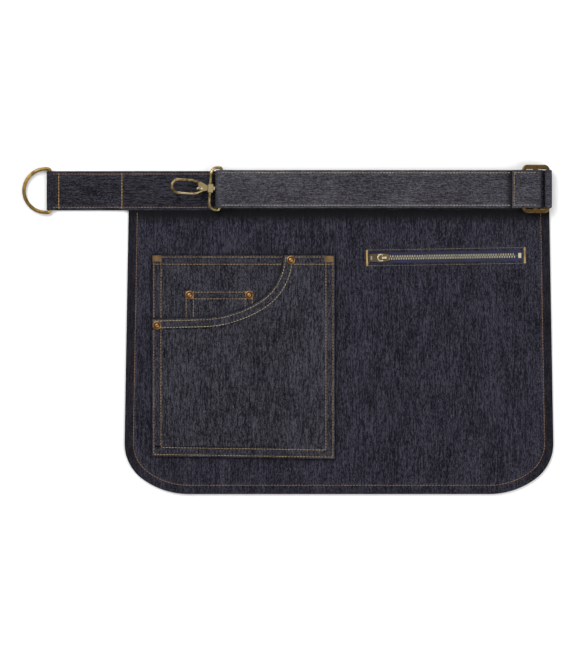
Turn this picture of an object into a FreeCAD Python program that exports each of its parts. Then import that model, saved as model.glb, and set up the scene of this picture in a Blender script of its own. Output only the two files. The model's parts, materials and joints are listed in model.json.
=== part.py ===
import FreeCAD, Part
import math
import os
import re
import Sketcher
from FreeCAD import Placement, Rotation, Vector

# A denim waist apron lying flat on its back. X runs along the waistband to the wearer's left,
# Y from the hem up to the waistband, Z out of the front. The origin is on the floor under the
# middle of the whole apron. All lengths are in millimetres.

doc = FreeCAD.newDocument("WaistApron")

sizes = {
    # cloth
    "clothPly": 0.8,         # one ply of denim
    "strapPly": 1.8,         # belt strap, folded double and stitched
    "hemWidth": 10,          # turned hem round the panel
    "hemHeight": 1.8,        # folded hem under the panel, which lifts it off the floor
    # main panel
    "panelWidth": 430,
    "panelDrop": 284,        # hem to the waistband's lower edge
    "panelFlare": 4.8,       # how far each side leans out from waistband to hem
    "cornerRun": 40,         # bottom corners: a slanted stretch with a curve at each end
    "cornerRise": 28,
    "cornerTight": 44,
    "cornerWide": 78,
    # waistband and the tab for the D-ring
    "bandWidth": 39.2,
    "bandPly": 1.2,
    "tabReach": 77.5,        # panel's left edge to the fold of the tab
    "tabSeam": 9.5,          # fold to the cross stitch that closes the loop
    "tabRampIn": 1,          # outside the panel's edge the strap comes down
    "tabRampOut": 14,
    "tabBackStop": 2,        # panel's edge to the end of the tab's back ply
    "bandStop": 5,           # panel's right edge to the waistband's end
    "dRingWire": 3.6,
    "dRingBow": 4.3,         # bar to the middle of the round part
    "dRingBend": 2.3,
    "ringSideGap": 0.3,
    "loopGap": 0.3,          # bar to the strap folded round it
    # belt
    "beltWidth": 38,
    "beltRise": 1.5,         # belt's centre line above the waistband's
    "beltLift": 0.3,         # belt above the waistband
    "plyGap": 0.1,
    "underStop": 0.7,        # strap below to the loop round the hinge bar
    "tailLead": 1,
    "tailSlack": 1.7,        # room between the middle bar and the turn of the tail
    "ringFlat": 3,
    "loopBend": 0.4,
    "beltSpan": 327.5,       # hinge bar to the bar of the hook's ring
    "tailReach": 36.4,       # hinge bar back to the hemmed end of the tail
    "tailRamp": 9,           # slider's left edge back to where the tail meets the strap below
    "ringRamp": 18,          # ring's bar to where the front strap lies flat
    "bandStitch": 0.5,       # between the back of the waistband and the belt's end
    "footReach": 19.5,       # end of the belt sewn behind the waistband
    # slider
    "sliderWidth": 28,
    "sliderSlot": 39.5,
    "sliderRail": 4.6,
    "sliderThick": 2.8,
    "sliderBar": 4,
    "sliderCorner": 6,
    "sliderSlotLeft": 8,
    "sliderSlotBend": 1.6,
    "sliderEase": 1,
    "sliderInset": 4.5,      # panel's right edge to the slider's outer edge
    # snap hook
    "hookRingWire": 3,
    "hookRingInner": 39.5,
    "hookRingDepth": 10.6,
    "hookRingBend": 7,
    "hookBarBend": 2.4,
    "hookLean": 3.5,         # degrees, the ring lies a little askew in its loop
    "leanRoom": 1.6,         # extra length of the loop that lets it lie askew
    "bossWidth": 9,
    "bossThick": 6.2,
    "bossLength": 5,
    "bossBend": 1.2,
    "neckPly": 2,
    "neckGap": 0.4,
    "neckHalf": 2.4,
    "postRadius": 1.5,
    "postGap": 0.08,
    "postHead": 2.4,
    "headThick": 1.6,
    "hookWire": 2.8,
    "hookTilt": 11,          # degrees, the stiff loop holds the hook up off the waistband
    "hookLength": 35.6,      # neck to the round end, along the hook's middle line
    "hookHalf": 6.6,         # half the height of the oval
    "hookBend": 6.3,
    "shoulderReach": 8.5,    # pivot to where the hook's back bends down to the neck
    "shoulderBend": 18,
    "pivotReach": 5.8,       # neck to the gate's pivot
    "pivotDrop": 0.7,
    "gateWire": 2.2,
    "gateGap": 0.4,          # gate's end to the hook's nose
    "noseReach": 8.6,        # round end to the nose
    "cheekPly": 0.9,
    "cheekGap": 0.15,
    "cheekTopIn": 1.6,
    "cheekTopUp": 6.7,
    "cheekEndIn": 4.2,
    "cheekEndUp": 5.4,
    "cheekToeIn": 2.6,
    "cheekToeDown": 1.2,
    "cheekHeelOut": 0.6,
    "cheekHeelDown": 2.9,
    "cheekStem": 1.4,
    "wireEndUp": 5.2,
    "gateElbow": 6,          # pivot to where the gate straightens
    "gateBend": 9,
    "gateTail": 4.6,
    "gateTailDrop": 0.9,
    "gateEase": 0.3,
    "pinRadius": 0.8,
    # zip
    "zipX": 158,
    "zipDepth": 46.4,        # waistband's lower edge to the chain
    "zipLean": 0.95,         # degrees
    "zipChain": 143,
    "zipWindow": 152,
    "zipWindowHigh": 11,
    "tapeWidth": 13,
    "tapePly": 0.35,
    "tapeOver": 8,           # tape beyond each end of the chain
    "tapeEdge": 0.9,
    "toothPitch": 2.46,
    "toothLong": 1.15,
    "toothThick": 1.3,
    "toothNear": 0.35,
    "toothFar": 2.5,
    "runnerLong": 11.6,
    "runnerWide": 8.6,
    "runnerPly": 0.55,
    "runnerGap": 0.08,
    "runnerShoulder": 0.45,  # share of the length at full width
    "runnerNose": 0.66,      # width of the nose, as a share
    "wedgeIn": 0.6,
    "wedgeLong": 3,
    "wedgeHalf": 0.25,
    "flangeGap": 0.15,
    "flangePly": 0.6,
    "crownShift": 0.9,
    "runnerStart": 3,        # chain's left end to the slider
    "stopLong": 3,
    "stopGap": 1,
    "pullLong": 9.2,
    "pullWide": 7.8,
    "pullPly": 1,
    "pullEye": 3.75,
    "pullEyeHole": 2.6,
    "pullGap": 0.3,
    "pintleRadius": 0.58,    # round bar of the pull under the arch
    "pintleWide": 2.6,
    "arcadePly": 0.9,        # the arch that holds the pull
    "arcadeWide": 2.2,
    "arcadeHalf": 1.65,
    "arcadeBend": 1.2,
    "arcadeRoom": 0.6,       # above the pull
    "bagPly": 0.25,
    "bagLow": 0.05,          # the bag just clears the floor and the tapes
    "bagLap": 2,
    "bagDepth": 132,
    "bagSide": 8,
    # patch pocket
    "pocketInset": 28,       # panel's left edge to the pocket
    "pocketDepth": 45,       # waistband's lower edge to the pocket's top
    "pocketWidth": 182.8,
    "pocketHeight": 201,
    "pocketSlant": 2.8,      # how much the right side runs lower
    "pocketSeam": 9,
    "scoopDrop": 64,         # pocket top to the scoop's left end
    "scoopWidth": 132,       # pocket's left side to the scoop's right end
    "scoopTurn": 80,         # pocket's left side to the first bend of the scoop
    "scoopLift": 2,
    "scoopBend": 110,
    "scoopIn": 4,
    "scoopRise": 33,         # pocket's top to the second bend
    "scoopTight": 52,
    "scoopBand": 14,         # the scoop's folded edge
    "scoopEndBand": 11,
    "coinInset": 32.6,
    "coinDrop": 35,
    "coinWidth": 69.4,
    "coinHeight": 56,
    # rivets
    "rivetRadius": 4.4,
    "rivetHigh": 1.2,
    "rivetShank": 1.25,
    "rivetBack": 3.6,
    "rivetBackHigh": 0.8,
    "rivetGap": 0.05,
    "rivetInset": 4.8,
    "rivetShift": 1.7,       # the scoop's rivets sit a little further in
}

# Places worked out from the sizes above.
places = {
    "loopOuter": "dRingWire / 2 + loopGap + bandPly",
    "dRingRadius": "bandWidth / 2 + ringSideGap + dRingWire / 2",
    "dRingReach": "dRingBow + dRingRadius + dRingWire / 2 - loopOuter",
    "rightX": "(panelWidth + tabReach + dRingReach) / 2",
    "leftX": "rightX - panelWidth",
    "tabFoldX": "leftX - tabReach",
    "dBarX": "tabFoldX + loopOuter",
    "sliderHeight": "sliderSlot + 2 * sliderRail",
    "hemY": "-(panelDrop + bandWidth / 2 + beltRise + sliderHeight / 2) / 2",
    "bandLowY": "hemY + panelDrop",
    "bandY": "bandLowY + bandWidth / 2",
    "beltY": "bandY + beltRise",
    "cornerSlant": "sqrt(cornerRun ^ 2 + cornerRise ^ 2)",
    # heights
    "panelLow": "hemHeight",
    "panelTop": "panelLow + clothPly",
    "bandTop": "panelTop + bandPly",
    "underLow": "bandTop + beltLift",
    "underTop": "underLow + strapPly",
    "frontLow": "underTop + plyGap",
    "frontTop": "frontLow + strapPly",
    "sliderLow": "frontTop + plyGap",
    "barZ": "sliderLow + sliderThick / 2",
    "tailLow": "sliderLow + sliderThick + plyGap",
    "tailTop": "tailLow + strapPly",
    # slider and its bars
    "sliderRightX": "rightX - sliderInset",
    "hingeX": "sliderRightX - sliderThick / 2",
    "wrapRadius": "sliderThick / 2 + loopGap + plyGap + strapPly",
    "slotRightX": "hingeX - sliderThick / 2",
    "midBarLeftX": "sliderRightX - sliderWidth + sliderBar + sliderSlotLeft",
    "midBarRightX": "midBarLeftX + sliderBar",
    "tailTurn": "(tailTop - frontLow) / 2",
    "tailTurnX": "midBarRightX + plyGap + tailSlack - tailTurn + strapPly",
    "tailEndX": "hingeX - tailReach",
    # ring of the snap hook
    "ringFold": "hookRingWire / 2 + loopGap + strapPly",
    "ringZ": "underLow + ringFold",
    "ringX": "hingeX - beltSpan",
    "ringFoldX": "ringX - leanRoom",
    "bossMiddle": "-hookRingDepth",
    "neckX": "-(hookRingDepth + bossLength / 2 + neckGap)",
    "hookEndX": "neckX - hookLength",
    "noseX": "hookEndX + noseReach",
    "gatePivotX": "neckX - pivotReach",
    "gatePivotY": "-pivotDrop",
    # zip, in the frame of its chain
    "zipY": "bandLowY - zipDepth",
    "tapeLow": "panelLow - tapePly",
    "toothLow": "tapeLow + tapePly / 2 - toothThick / 2",
    "toothTop": "toothLow + toothThick",
    "chainLeft": "-zipChain / 2",
    "runnerLeft": "chainLeft + runnerStart",
    "runnerTop": "toothTop + runnerGap + runnerPly",
    "runnerLow": "toothLow - runnerGap - runnerPly",
    "pullPivotX": "runnerLeft + runnerLong / 2 + crownShift",
    "pullLow": "runnerTop + pullGap",
    # pocket
    "pocketLeftX": "leftX + pocketInset",
    "pocketRightX": "pocketLeftX + pocketWidth",
    "pocketTopY": "bandLowY - pocketDepth",
    "pocketLowY": "pocketTopY - pocketHeight",
    "coinLeftX": "pocketLeftX + coinInset",
    "coinTopY": "pocketTopY - coinDrop",
    "backingTop": "panelTop + clothPly",
    "coinTop": "backingTop + clothPly",
    "frontFaceTop": "coinTop + clothPly",
}

sheet = doc.addObject("Spreadsheet::Sheet", "Sizes")
for row, (name, value) in enumerate(sizes.items(), start=1):
    sheet.set("A%d" % row, name)
    sheet.set("B%d" % row, str(value))
    sheet.setAlias("B%d" % row, name)
doc.recompute()


def formula(text):
    """Give a rule in the names above as an expression on the sheet's cells."""
    def cell(match):
        word = match.group(0)
        if word in places:
            return "(" + formula(places[word]) + ")"
        if word in sizes:
            return "Sizes." + word
        return word
    return re.sub(r"[A-Za-z]\w*", cell, str(text))


def amount(text):
    """The number that a rule gives now."""
    return float(sheet.evalExpression(formula(text)))


def bind(item, prop, text):
    item.setExpression(prop, formula(text))


def heading(start, end):
    return math.atan2(end[1] - start[1], end[0] - start[0])


def at(x, y):
    """A sharp corner of an outline."""
    return {"x": x, "y": y, "kind": "sharp"}


def rounded(x, y, radius):
    """A corner that a curve of this radius cuts off."""
    return {"x": x, "y": y, "kind": "rounded", "radius": radius}


def around(x, y, radius, side):
    """A stretch round a circle at x, y: side 1 turns left, -1 turns right."""
    return {"x": x, "y": y, "kind": "around", "radius": radius, "side": side}


def draw(sketch, spots, closed=True):
    """Draw an outline through the spots, with every place and radius bound to the sheet."""
    count = len(spots)
    middles = [(amount(s["x"]), amount(s["y"])) for s in spots]
    bends = [s["side"] * amount(s["radius"]) if s["kind"] == "around" else 0 for s in spots]
    runs = []
    for i in range(count if closed else count - 1):
        j = (i + 1) % count
        far = math.dist(middles[i], middles[j])
        angle = heading(middles[i], middles[j]) - math.asin((bends[j] - bends[i]) / far)
        normal = (-math.sin(angle), math.cos(angle))
        start = [middles[i][k] - bends[i] * normal[k] for k in (0, 1)]
        end = [middles[j][k] - bends[j] * normal[k] for k in (0, 1)]
        runs.append({"start": start, "end": end, "angle": angle})
    arcs = {}
    for i, spot in enumerate(spots):
        if spot["kind"] == "sharp":
            continue
        before, after = runs[i - 1], runs[i % len(runs)]
        radius = amount(spot["radius"])
        if spot["kind"] == "rounded":
            turn = math.remainder(after["angle"] - before["angle"], 2 * math.pi)
            side = 1 if turn > 0 else -1
            cut = radius * math.tan(abs(turn) / 2)
            before["end"] = [middles[i][0] - cut * math.cos(before["angle"]),
                             middles[i][1] - cut * math.sin(before["angle"])]
            after["start"] = [middles[i][0] + cut * math.cos(after["angle"]),
                              middles[i][1] + cut * math.sin(after["angle"])]
            centre = (before["end"][0] - side * radius * math.sin(before["angle"]),
                      before["end"][1] + side * radius * math.cos(before["angle"]))
        else:
            side, centre = spot["side"], middles[i]
        arcs[i] = {"side": side, "centre": centre, "radius": radius}
    lines = [sketch.addGeometry(Part.LineSegment(Vector(*run["start"], 0), Vector(*run["end"], 0)))
             for run in runs]

    def pin(geometry, point, spot):
        x, y = amount(spot["x"]), amount(spot["y"])
        across = sketch.addConstraint(Sketcher.Constraint("DistanceX", -1, 1, geometry, point, x))
        up = sketch.addConstraint(Sketcher.Constraint("DistanceY", -1, 1, geometry, point, y))
        bind(sketch, "Constraints[%d]" % across, spot["x"])
        bind(sketch, "Constraints[%d]" % up, spot["y"])

    for i, spot in enumerate(spots):
        first, last = i == 0 and not closed, i == count - 1 and not closed
        if spot["kind"] == "sharp":
            if first:
                pin(lines[0], 1, spot)
            else:
                pin(lines[i - 1], 2, spot)
                if not last:
                    sketch.addConstraint(Sketcher.Constraint("Coincident", lines[i - 1], 2, lines[i], 1))
            continue
        before, after = lines[i - 1], lines[i]
        arc = arcs[i]
        ends = [runs[i - 1]["end"], runs[i]["start"]]
        if arc["side"] < 0:
            ends.reverse()
        turns = [heading(arc["centre"], end) for end in ends]
        if turns[1] <= turns[0]:
            turns[1] += 2 * math.pi
        circle = Part.Circle(Vector(*arc["centre"], 0), Vector(0, 0, 1), arc["radius"])
        curve = sketch.addGeometry(Part.ArcOfCircle(circle, *turns))
        enter, leave = (1, 2) if arc["side"] > 0 else (2, 1)
        sketch.addConstraint(Sketcher.Constraint("Tangent", before, 2, curve, enter))
        sketch.addConstraint(Sketcher.Constraint("Tangent", curve, leave, after, 1))
        size = sketch.addConstraint(Sketcher.Constraint("Radius", curve, arc["radius"]))
        bind(sketch, "Constraints[%d]" % size, spot["radius"])
        if spot["kind"] == "around":
            pin(curve, 3, spot)
            continue
        corner = sketch.addGeometry(Part.Point(Vector(*middles[i], 0)), True)
        pin(corner, 1, spot)
        sketch.addConstraint(Sketcher.Constraint("PointOnObject", corner, 1, before))
        sketch.addConstraint(Sketcher.Constraint("PointOnObject", corner, 1, after))


def disc(sketch, x, y, radius):
    """A circle whose place and radius are bound to the sheet."""
    circle = sketch.addGeometry(Part.Circle(Vector(amount(x), amount(y), 0), Vector(0, 0, 1), amount(radius)))
    size = sketch.addConstraint(Sketcher.Constraint("Radius", circle, amount(radius)))
    bind(sketch, "Constraints[%d]" % size, radius)
    for kind, place in (("DistanceX", x), ("DistanceY", y)):
        rule = sketch.addConstraint(Sketcher.Constraint(kind, -1, 1, circle, 3, amount(place)))
        bind(sketch, "Constraints[%d]" % rule, place)


def box(x1, x2, y1, y2):
    return [at(x1, y1), at(x2, y1), at(x2, y2), at(x1, y2)]


made = {}


def newBody(name):
    body = doc.addObject("PartDesign::Body", name)
    body.Label = name
    made[name] = body
    return body


def newSketch(body, role="XY_Plane", level="0"):
    """A sketch on one of the body's own planes, moved along the plane's normal."""
    sketch = body.newObject("Sketcher::SketchObject", body.Label + "_sketch")
    support = [f for f in body.Origin.OriginFeatures if f.Role == role][0]
    sketch.AttachmentSupport = [(support, "")]
    sketch.MapMode = "FlatFace"
    bind(sketch, "AttachmentOffset.Base.z", level)
    return sketch


def pad(body, sketch, length):
    feature = body.newObject("PartDesign::Pad", body.Label + "_pad")
    feature.Profile = sketch
    bind(feature, "Length", length)
    sketch.Visibility = False
    return feature


def cut(body, sketch, depth):
    """Cut from the sketch upwards, so the sketch lies on the low side of what goes."""
    feature = body.newObject("PartDesign::Pocket", body.Label + "_cut")
    feature.Profile = sketch
    feature.Reversed = True
    bind(feature, "Length", depth)
    return feature


def slab(name, spots, low, high):
    """A flat piece with this outline between two heights."""
    body = newBody(name)
    sketch = newSketch(body, "XY_Plane", low)
    draw(sketch, spots)
    pad(body, sketch, "(%s) - (%s)" % (high, low))
    return body


def strip(name, outline, width, middleY):
    """A strap: its shape seen from the front, drawn out in Y."""
    body = newBody(name)
    sketch = newSketch(body, "XZ_Plane", "-(%s) - (%s) / 2" % (middleY, width))
    draw(sketch, outline)
    pad(body, sketch, width)
    return body


# Main panel


def panelOutline(inset):
    """The panel's edge, or a line that runs inside it at an even distance."""
    low = "cornerSlant - cornerRise"
    across = "cornerSlant - cornerRun"
    sideUp = "hemY + cornerRise + (%s) * (%s) / cornerRun" % (inset, low)
    slantX = "cornerRun + (%s) * (%s) / cornerRise" % (inset, across)
    left, right = "leftX + (%s)" % inset, "rightX - (%s)" % inset
    hem = "hemY + (%s)" % inset
    return [at(left + " + panelFlare", "bandY"),
            rounded(left, sideUp, "cornerTight - (%s)" % inset),
            rounded("leftX + " + slantX, hem, "cornerWide - (%s)" % inset),
            rounded("rightX - (%s)" % slantX, hem, "cornerWide - (%s)" % inset),
            rounded(right, sideUp, "cornerTight - (%s)" % inset),
            at(right + " - panelFlare", "bandY")]


rivets = {
    "scoopLeft": ("pocketLeftX + rivetInset", "pocketTopY - scoopDrop - rivetInset - rivetShift", "frontFaceTop"),
    "scoopRight": ("pocketLeftX + scoopWidth + rivetInset + rivetShift", "pocketTopY - rivetInset", "frontFaceTop"),
    "coinLeft": ("coinLeftX + rivetInset", "coinTopY - rivetInset", "coinTop"),
    "coinRight": ("coinLeftX + coinWidth - rivetInset", "coinTopY - rivetInset", "coinTop"),
}

panel = slab("main_panel", panelOutline("0"), "0", "panelTop")
hollow = newSketch(panel)
draw(hollow, [at("leftX + hemWidth + panelFlare", "bandY + clothPly")] + panelOutline("hemWidth")[1:-1]
     + [at("rightX - hemWidth - panelFlare", "bandY + clothPly")])
cut(panel, hollow, "panelLow")
bandRoom = newSketch(panel)
draw(bandRoom, box("leftX - 1", "rightX + 1", "bandLowY", "bandY + clothPly"))
cut(panel, bandRoom, "panelLow")
window = newSketch(panel, level="panelLow")
bind(window, "AttachmentOffset.Base.x", "zipX")
bind(window, "AttachmentOffset.Base.y", "zipY")
bind(window, "AttachmentOffset.Rotation.Angle", "zipLean")
draw(window, box("-zipWindow / 2", "zipWindow / 2", "-zipWindowHigh / 2", "zipWindowHigh / 2"))
cut(panel, window, "clothPly")
shanks = newSketch(panel, level="panelLow")
for x, y, top in rivets.values():
    disc(shanks, x, y, "rivetShank + rivetGap")
cut(panel, shanks, "clothPly")

# Waistband and tab

bandEnd = "rightX - bandStop"
tabTop = "2 * bandPly + plyGap"
strip("waistband_front", [
    at(bandEnd, "bandTop"), at("leftX + panelFlare - tabRampIn", "bandTop"), at("leftX - tabRampOut", tabTop),
    at("tabFoldX + tabSeam", tabTop),
    around("dBarX", "loopOuter", "loopOuter", 1),
    at("leftX - tabBackStop", "0"), at("leftX - tabBackStop", "bandPly"),
    around("dBarX", "loopOuter", "loopOuter - bandPly", -1),
    at("tabFoldX + tabSeam", tabTop + " - bandPly"), at("leftX - tabRampOut", tabTop + " - bandPly"),
    at("leftX + panelFlare - tabRampIn", "panelTop"), at(bandEnd, "panelTop"),
], "bandWidth", "bandY")
backStop = "hingeX - footReach - bandStitch"
slab("waistband_back", box("leftX + panelFlare", backStop, "bandLowY + plyGap", "bandY + bandWidth / 2"),
     "0", "panelLow")

# D-ring

def closedPipe(name, route, wire, level):
    """A closed wire in a level plane; its route starts and ends on a run along Y."""
    body = newBody(name)
    spine = newSketch(body, "XY_Plane", level)
    draw(spine, route, closed=False)
    section = newSketch(body, "XZ_Plane", "-(%s)" % route[0]["y"])
    disc(section, route[0]["x"], level, "(%s) / 2" % wire)
    feature = body.newObject("PartDesign::AdditivePipe", name + "_pipe")
    feature.Profile = section
    feature.Spine = spine
    return body


closedPipe("d_ring", [
    at("dBarX", "bandY"),
    rounded("dBarX", "bandY + dRingRadius", "dRingBend"),
    around("dBarX - dRingBow", "bandY", "dRingRadius", 1),
    rounded("dBarX", "bandY - dRingRadius", "dRingBend"),
    at("dBarX", "bandY"),
], "dRingWire", "loopOuter")

# Belt: the tail over the slider's bars, the front strap, the loop round the hook's ring and the
# strap that comes back underneath are one length of strap.

tailRest = "frontTop + plyGap"
sliderLeft = "sliderRightX - sliderWidth"
turnZ = "(tailTop + frontLow) / 2"
underEnd = "hingeX - wrapRadius - underStop"
strip("belt_strap", [
    at("tailEndX", tailRest + " + strapPly"), at(sliderLeft + " - tailRamp", tailRest + " + strapPly"),
    at(sliderLeft + " - tailLead", "tailTop"),
    around("tailTurnX", turnZ, "tailTurn", -1),
    at("ringX + ringRamp", "frontLow"), at("ringX + ringFlat", "ringZ + ringFold - strapPly"),
    around("ringFoldX", "ringZ", "ringFold - strapPly", 1),
    at(underEnd, "underTop"), at(underEnd, "underLow"),
    around("ringFoldX", "ringZ", "ringFold", -1),
    at("ringX + ringFlat", "ringZ + ringFold"), at("ringX + ringRamp", "frontTop"),
    around("tailTurnX", turnZ, "tailTurn - strapPly", 1),
    at(sliderLeft + " - tailLead", "tailLow"), at(sliderLeft + " - tailRamp", tailRest), at("tailEndX", tailRest),
], "beltWidth", "beltY")

strip("slider_loop", [
    at("hingeX - footReach", "0"), rounded("hingeX + wrapRadius", "0", "strapPly + loopBend"),
    around("hingeX", "barZ", "wrapRadius", 1),
    at("hingeX - wrapRadius", "underTop + loopBend"), at("hingeX - wrapRadius + strapPly", "underTop + loopBend"),
    around("hingeX", "barZ", "wrapRadius - strapPly", -1),
    rounded("hingeX + wrapRadius - strapPly", "panelLow", "loopBend"), at("hingeX - footReach", "panelLow"),
], "beltWidth", "beltY")

slider = newBody("slider_buckle")
frame = newSketch(slider, "XY_Plane", "sliderLow")
sliderHigh, sliderDown = "beltY + sliderHeight / 2", "beltY - sliderHeight / 2"
draw(frame, [rounded(sliderLeft, sliderDown, "sliderCorner"), rounded("sliderRightX", sliderDown, "sliderCorner"),
             rounded("sliderRightX", sliderHigh, "sliderCorner"), rounded(sliderLeft, sliderHigh, "sliderCorner")])
pad(slider, frame, "sliderThick")
slotEnds = "beltY - sliderSlot / 2", "beltY + sliderSlot / 2"
for start, end in (("sliderRightX - sliderWidth + sliderBar", "midBarLeftX"), ("midBarRightX", "slotRightX")):
    slot = newSketch(slider, "XY_Plane", "sliderLow")
    draw(slot, [rounded(x, y, "sliderSlotBend") for x, y in (
        (start, slotEnds[0]), (end, slotEnds[0]), (end, slotEnds[1]), (start, slotEnds[1]))])
    cut(slider, slot, "sliderThick")
doc.recompute()
flatEdges = ["Edge%d" % (i + 1) for i, edge in enumerate(slider.Shape.Edges)
             if abs(edge.BoundBox.ZLength) < 1e-6]
cutFrame = slider.Tip
soften = slider.newObject("PartDesign::Fillet", "slider_soften")
soften.Base = (cutFrame, flatEdges)
bind(soften, "Radius", "min(sliderEase; 0.4 * sliderThick)")

# Snap hook, in its own frame: the bar in the strap's loop is along Y at the origin, and the hook
# points along -X.

hookPlace = ("placement(vector(ringX; beltY; ringZ); "
             "rotation(vector(0; 0; 1); -hookLean) * rotation(vector(0; 1; 0); hookTilt))")
ringHalf = "hookRingInner / 2 + hookRingWire / 2"
ring = closedPipe("hook_ring", [
    at("0", "0"),
    rounded("0", ringHalf, "hookBarBend"),
    rounded("-hookRingDepth", ringHalf, "hookRingBend"),
    rounded("-hookRingDepth", "-(%s)" % ringHalf, "hookRingBend"),
    rounded("0", "-(%s)" % ringHalf, "hookBarBend"),
    at("0", "0"),
], "hookRingWire", "0")


def block(body, spots, low, high):
    sketch = newSketch(body, "XY_Plane", low)
    draw(sketch, spots)
    return pad(body, sketch, "(%s) - (%s)" % (high, low))


def rod(body, x1, x2, radius):
    """A round length along the body's X axis."""
    sketch = newSketch(body, "YZ_Plane", x1)
    disc(sketch, "0", "0", radius)
    return pad(body, sketch, "(%s) - (%s)" % (x2, x1))


bossLeft, bossRight = "bossMiddle - bossLength / 2", "bossMiddle + bossLength / 2"
block(ring, [rounded(bossLeft, "-bossWidth / 2", "bossBend"), rounded(bossRight, "-bossWidth / 2", "bossBend"),
             rounded(bossRight, "bossWidth / 2", "bossBend"), rounded(bossLeft, "bossWidth / 2", "bossBend")],
      "-bossThick / 2", "bossThick / 2")
bore = newSketch(ring, "YZ_Plane", "bossMiddle - bossLength")
disc(bore, "0", "0", "postRadius + postGap")
cut(ring, bore, "2 * bossLength")

post = newBody("swivel_post")
rod(post, "neckX - neckPly", bossRight + " + neckGap", "postRadius")
rod(post, bossRight + " + neckGap", bossRight + " + neckGap + headThick", "postHead")

hook = newBody("hook_body")
hookRoute = newSketch(hook)
draw(hookRoute, [at("noseX", "-hookHalf"),
                 rounded("hookEndX", "-hookHalf", "hookBend"),
                 rounded("hookEndX", "hookHalf", "hookBend"),
                 rounded("gatePivotX - shoulderReach", "hookHalf", "shoulderBend"),
                 at("gatePivotX - cheekToeIn", "gatePivotY + wireEndUp")], closed=False)
hookSection = newSketch(hook, "YZ_Plane", "noseX")
disc(hookSection, "-hookHalf", "0", "hookWire / 2")
hookPipe = hook.newObject("PartDesign::AdditivePipe", "hook_pipe")
hookPipe.Profile = hookSection
hookPipe.Spine = hookRoute
cheekIn = "gateWire / 2 + cheekGap"
cheekOut = "%s + cheekPly" % cheekIn
cheekTop = at("gatePivotX - cheekTopIn", "gatePivotY + cheekTopUp")
cheekEnd = at("gatePivotX - cheekEndIn", "gatePivotY + cheekEndUp")
cheek = [at("neckX", "-neckHalf"), at("neckX", "neckHalf"), cheekTop, cheekEnd,
         at("gatePivotX - cheekToeIn", "gatePivotY - cheekToeDown"),
         at("gatePivotX + cheekHeelOut", "gatePivotY - cheekHeelDown")]
block(hook, cheek, cheekIn, cheekOut)
block(hook, cheek, "-(%s)" % cheekOut, "-(%s)" % cheekIn)
block(hook, box("neckX - neckPly", "neckX", "-neckHalf", "neckHalf"), "-(%s)" % cheekOut, cheekOut)
block(hook, [cheekTop, cheekEnd, at("gatePivotX - cheekEndIn + 1", "gatePivotY + cheekEndUp - cheekStem"),
             at("gatePivotX - cheekTopIn + 1", "gatePivotY + cheekTopUp - cheekStem")], "-(%s)" % cheekOut, cheekOut)
postBore = newSketch(hook, "YZ_Plane", "neckX - neckPly")
disc(postBore, "0", "0", "postRadius")
cut(hook, postBore, "neckPly")
pinBore = newSketch(hook, "XY_Plane", "-(%s)" % cheekOut)
disc(pinBore, "gatePivotX", "gatePivotY", "pinRadius")
cut(hook, pinBore, "2 * (%s)" % cheekOut)

pin = newBody("gate_pin")
pinSketch = newSketch(pin, "XY_Plane", "-(%s)" % cheekOut)
disc(pinSketch, "gatePivotX", "gatePivotY", "pinRadius")
pad(pin, pinSketch, "2 * (%s)" % cheekOut)

gate = newBody("hook_gate")
gateRoute = newSketch(gate)
draw(gateRoute, [at("noseX + gateGap", "-hookHalf"),
                 rounded("gatePivotX - gateElbow", "-hookHalf", "gateBend"),
                 around("gatePivotX", "gatePivotY", "pinRadius + gateEase + gateWire / 2", 1),
                 at("gatePivotX - gateTail", "gatePivotY - gateTailDrop")], closed=False)
gateSection = newSketch(gate, "YZ_Plane", "noseX + gateGap")
disc(gateSection, "-hookHalf", "0", "gateWire / 2")
gatePipe = gate.newObject("PartDesign::AdditivePipe", "gate_pipe")
gatePipe.Profile = gateSection
gatePipe.Spine = gateRoute

for name in ("hook_ring", "swivel_post", "hook_body", "gate_pin", "hook_gate"):
    bind(made[name], "Placement", hookPlace)

# Patch pocket

pocketSpots = [at("pocketLeftX", "pocketLowY"), at("pocketRightX", "pocketLowY - pocketSlant"),
               at("pocketRightX", "pocketTopY"), at("pocketLeftX", "pocketTopY")]


def rivetHoles(body, level, depth, names):
    sketch = newSketch(body, "XY_Plane", level)
    for name in names:
        disc(sketch, rivets[name][0], rivets[name][1], "rivetShank + rivetGap")
    cut(body, sketch, depth)


backing = slab("pocket_backing", pocketSpots, "panelTop", "backingTop")
rivetHoles(backing, "panelTop", "clothPly", rivets)

coin = slab("coin_pocket", box("coinLeftX", "coinLeftX + coinWidth", "coinTopY - coinHeight", "coinTopY"),
            "backingTop", "coinTop")
rivetHoles(coin, "backingTop", "clothPly", ["coinLeft", "coinRight"])

scoopY = "pocketTopY - scoopDrop"
scoopEndX = "pocketLeftX + scoopWidth"
scoop = [rounded("pocketLeftX + scoopTurn", scoopY + " + scoopLift", "scoopBend"),
         rounded(scoopEndX + " - scoopIn", "pocketTopY - scoopRise", "scoopTight")]
front = slab("pocket_front", [pocketSpots[0], pocketSpots[1], pocketSpots[2], at(scoopEndX, "pocketTopY"),
                              scoop[1], scoop[0], at("pocketLeftX", scoopY)], "backingTop", "frontFaceTop")
inside = newSketch(front, "XY_Plane", "backingTop")
draw(inside, [at("pocketLeftX + pocketSeam", "pocketLowY + pocketSeam"),
              at("pocketRightX - pocketSeam", "pocketLowY - pocketSlant + pocketSeam"),
              at("pocketRightX - pocketSeam", "pocketTopY - scoopBand"),
              at(scoopEndX + " + scoopEndBand", "pocketTopY - scoopBand"), at(scoopEndX + " + scoopEndBand", "pocketTopY + clothPly"),
              at("pocketLeftX + coinInset / 2", "pocketTopY + clothPly"),
              at("pocketLeftX + coinInset / 2", scoopY + " - scoopBand"),
              at("pocketLeftX + pocketSeam", scoopY + " - scoopBand")])
cut(front, inside, "clothPly")
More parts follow.
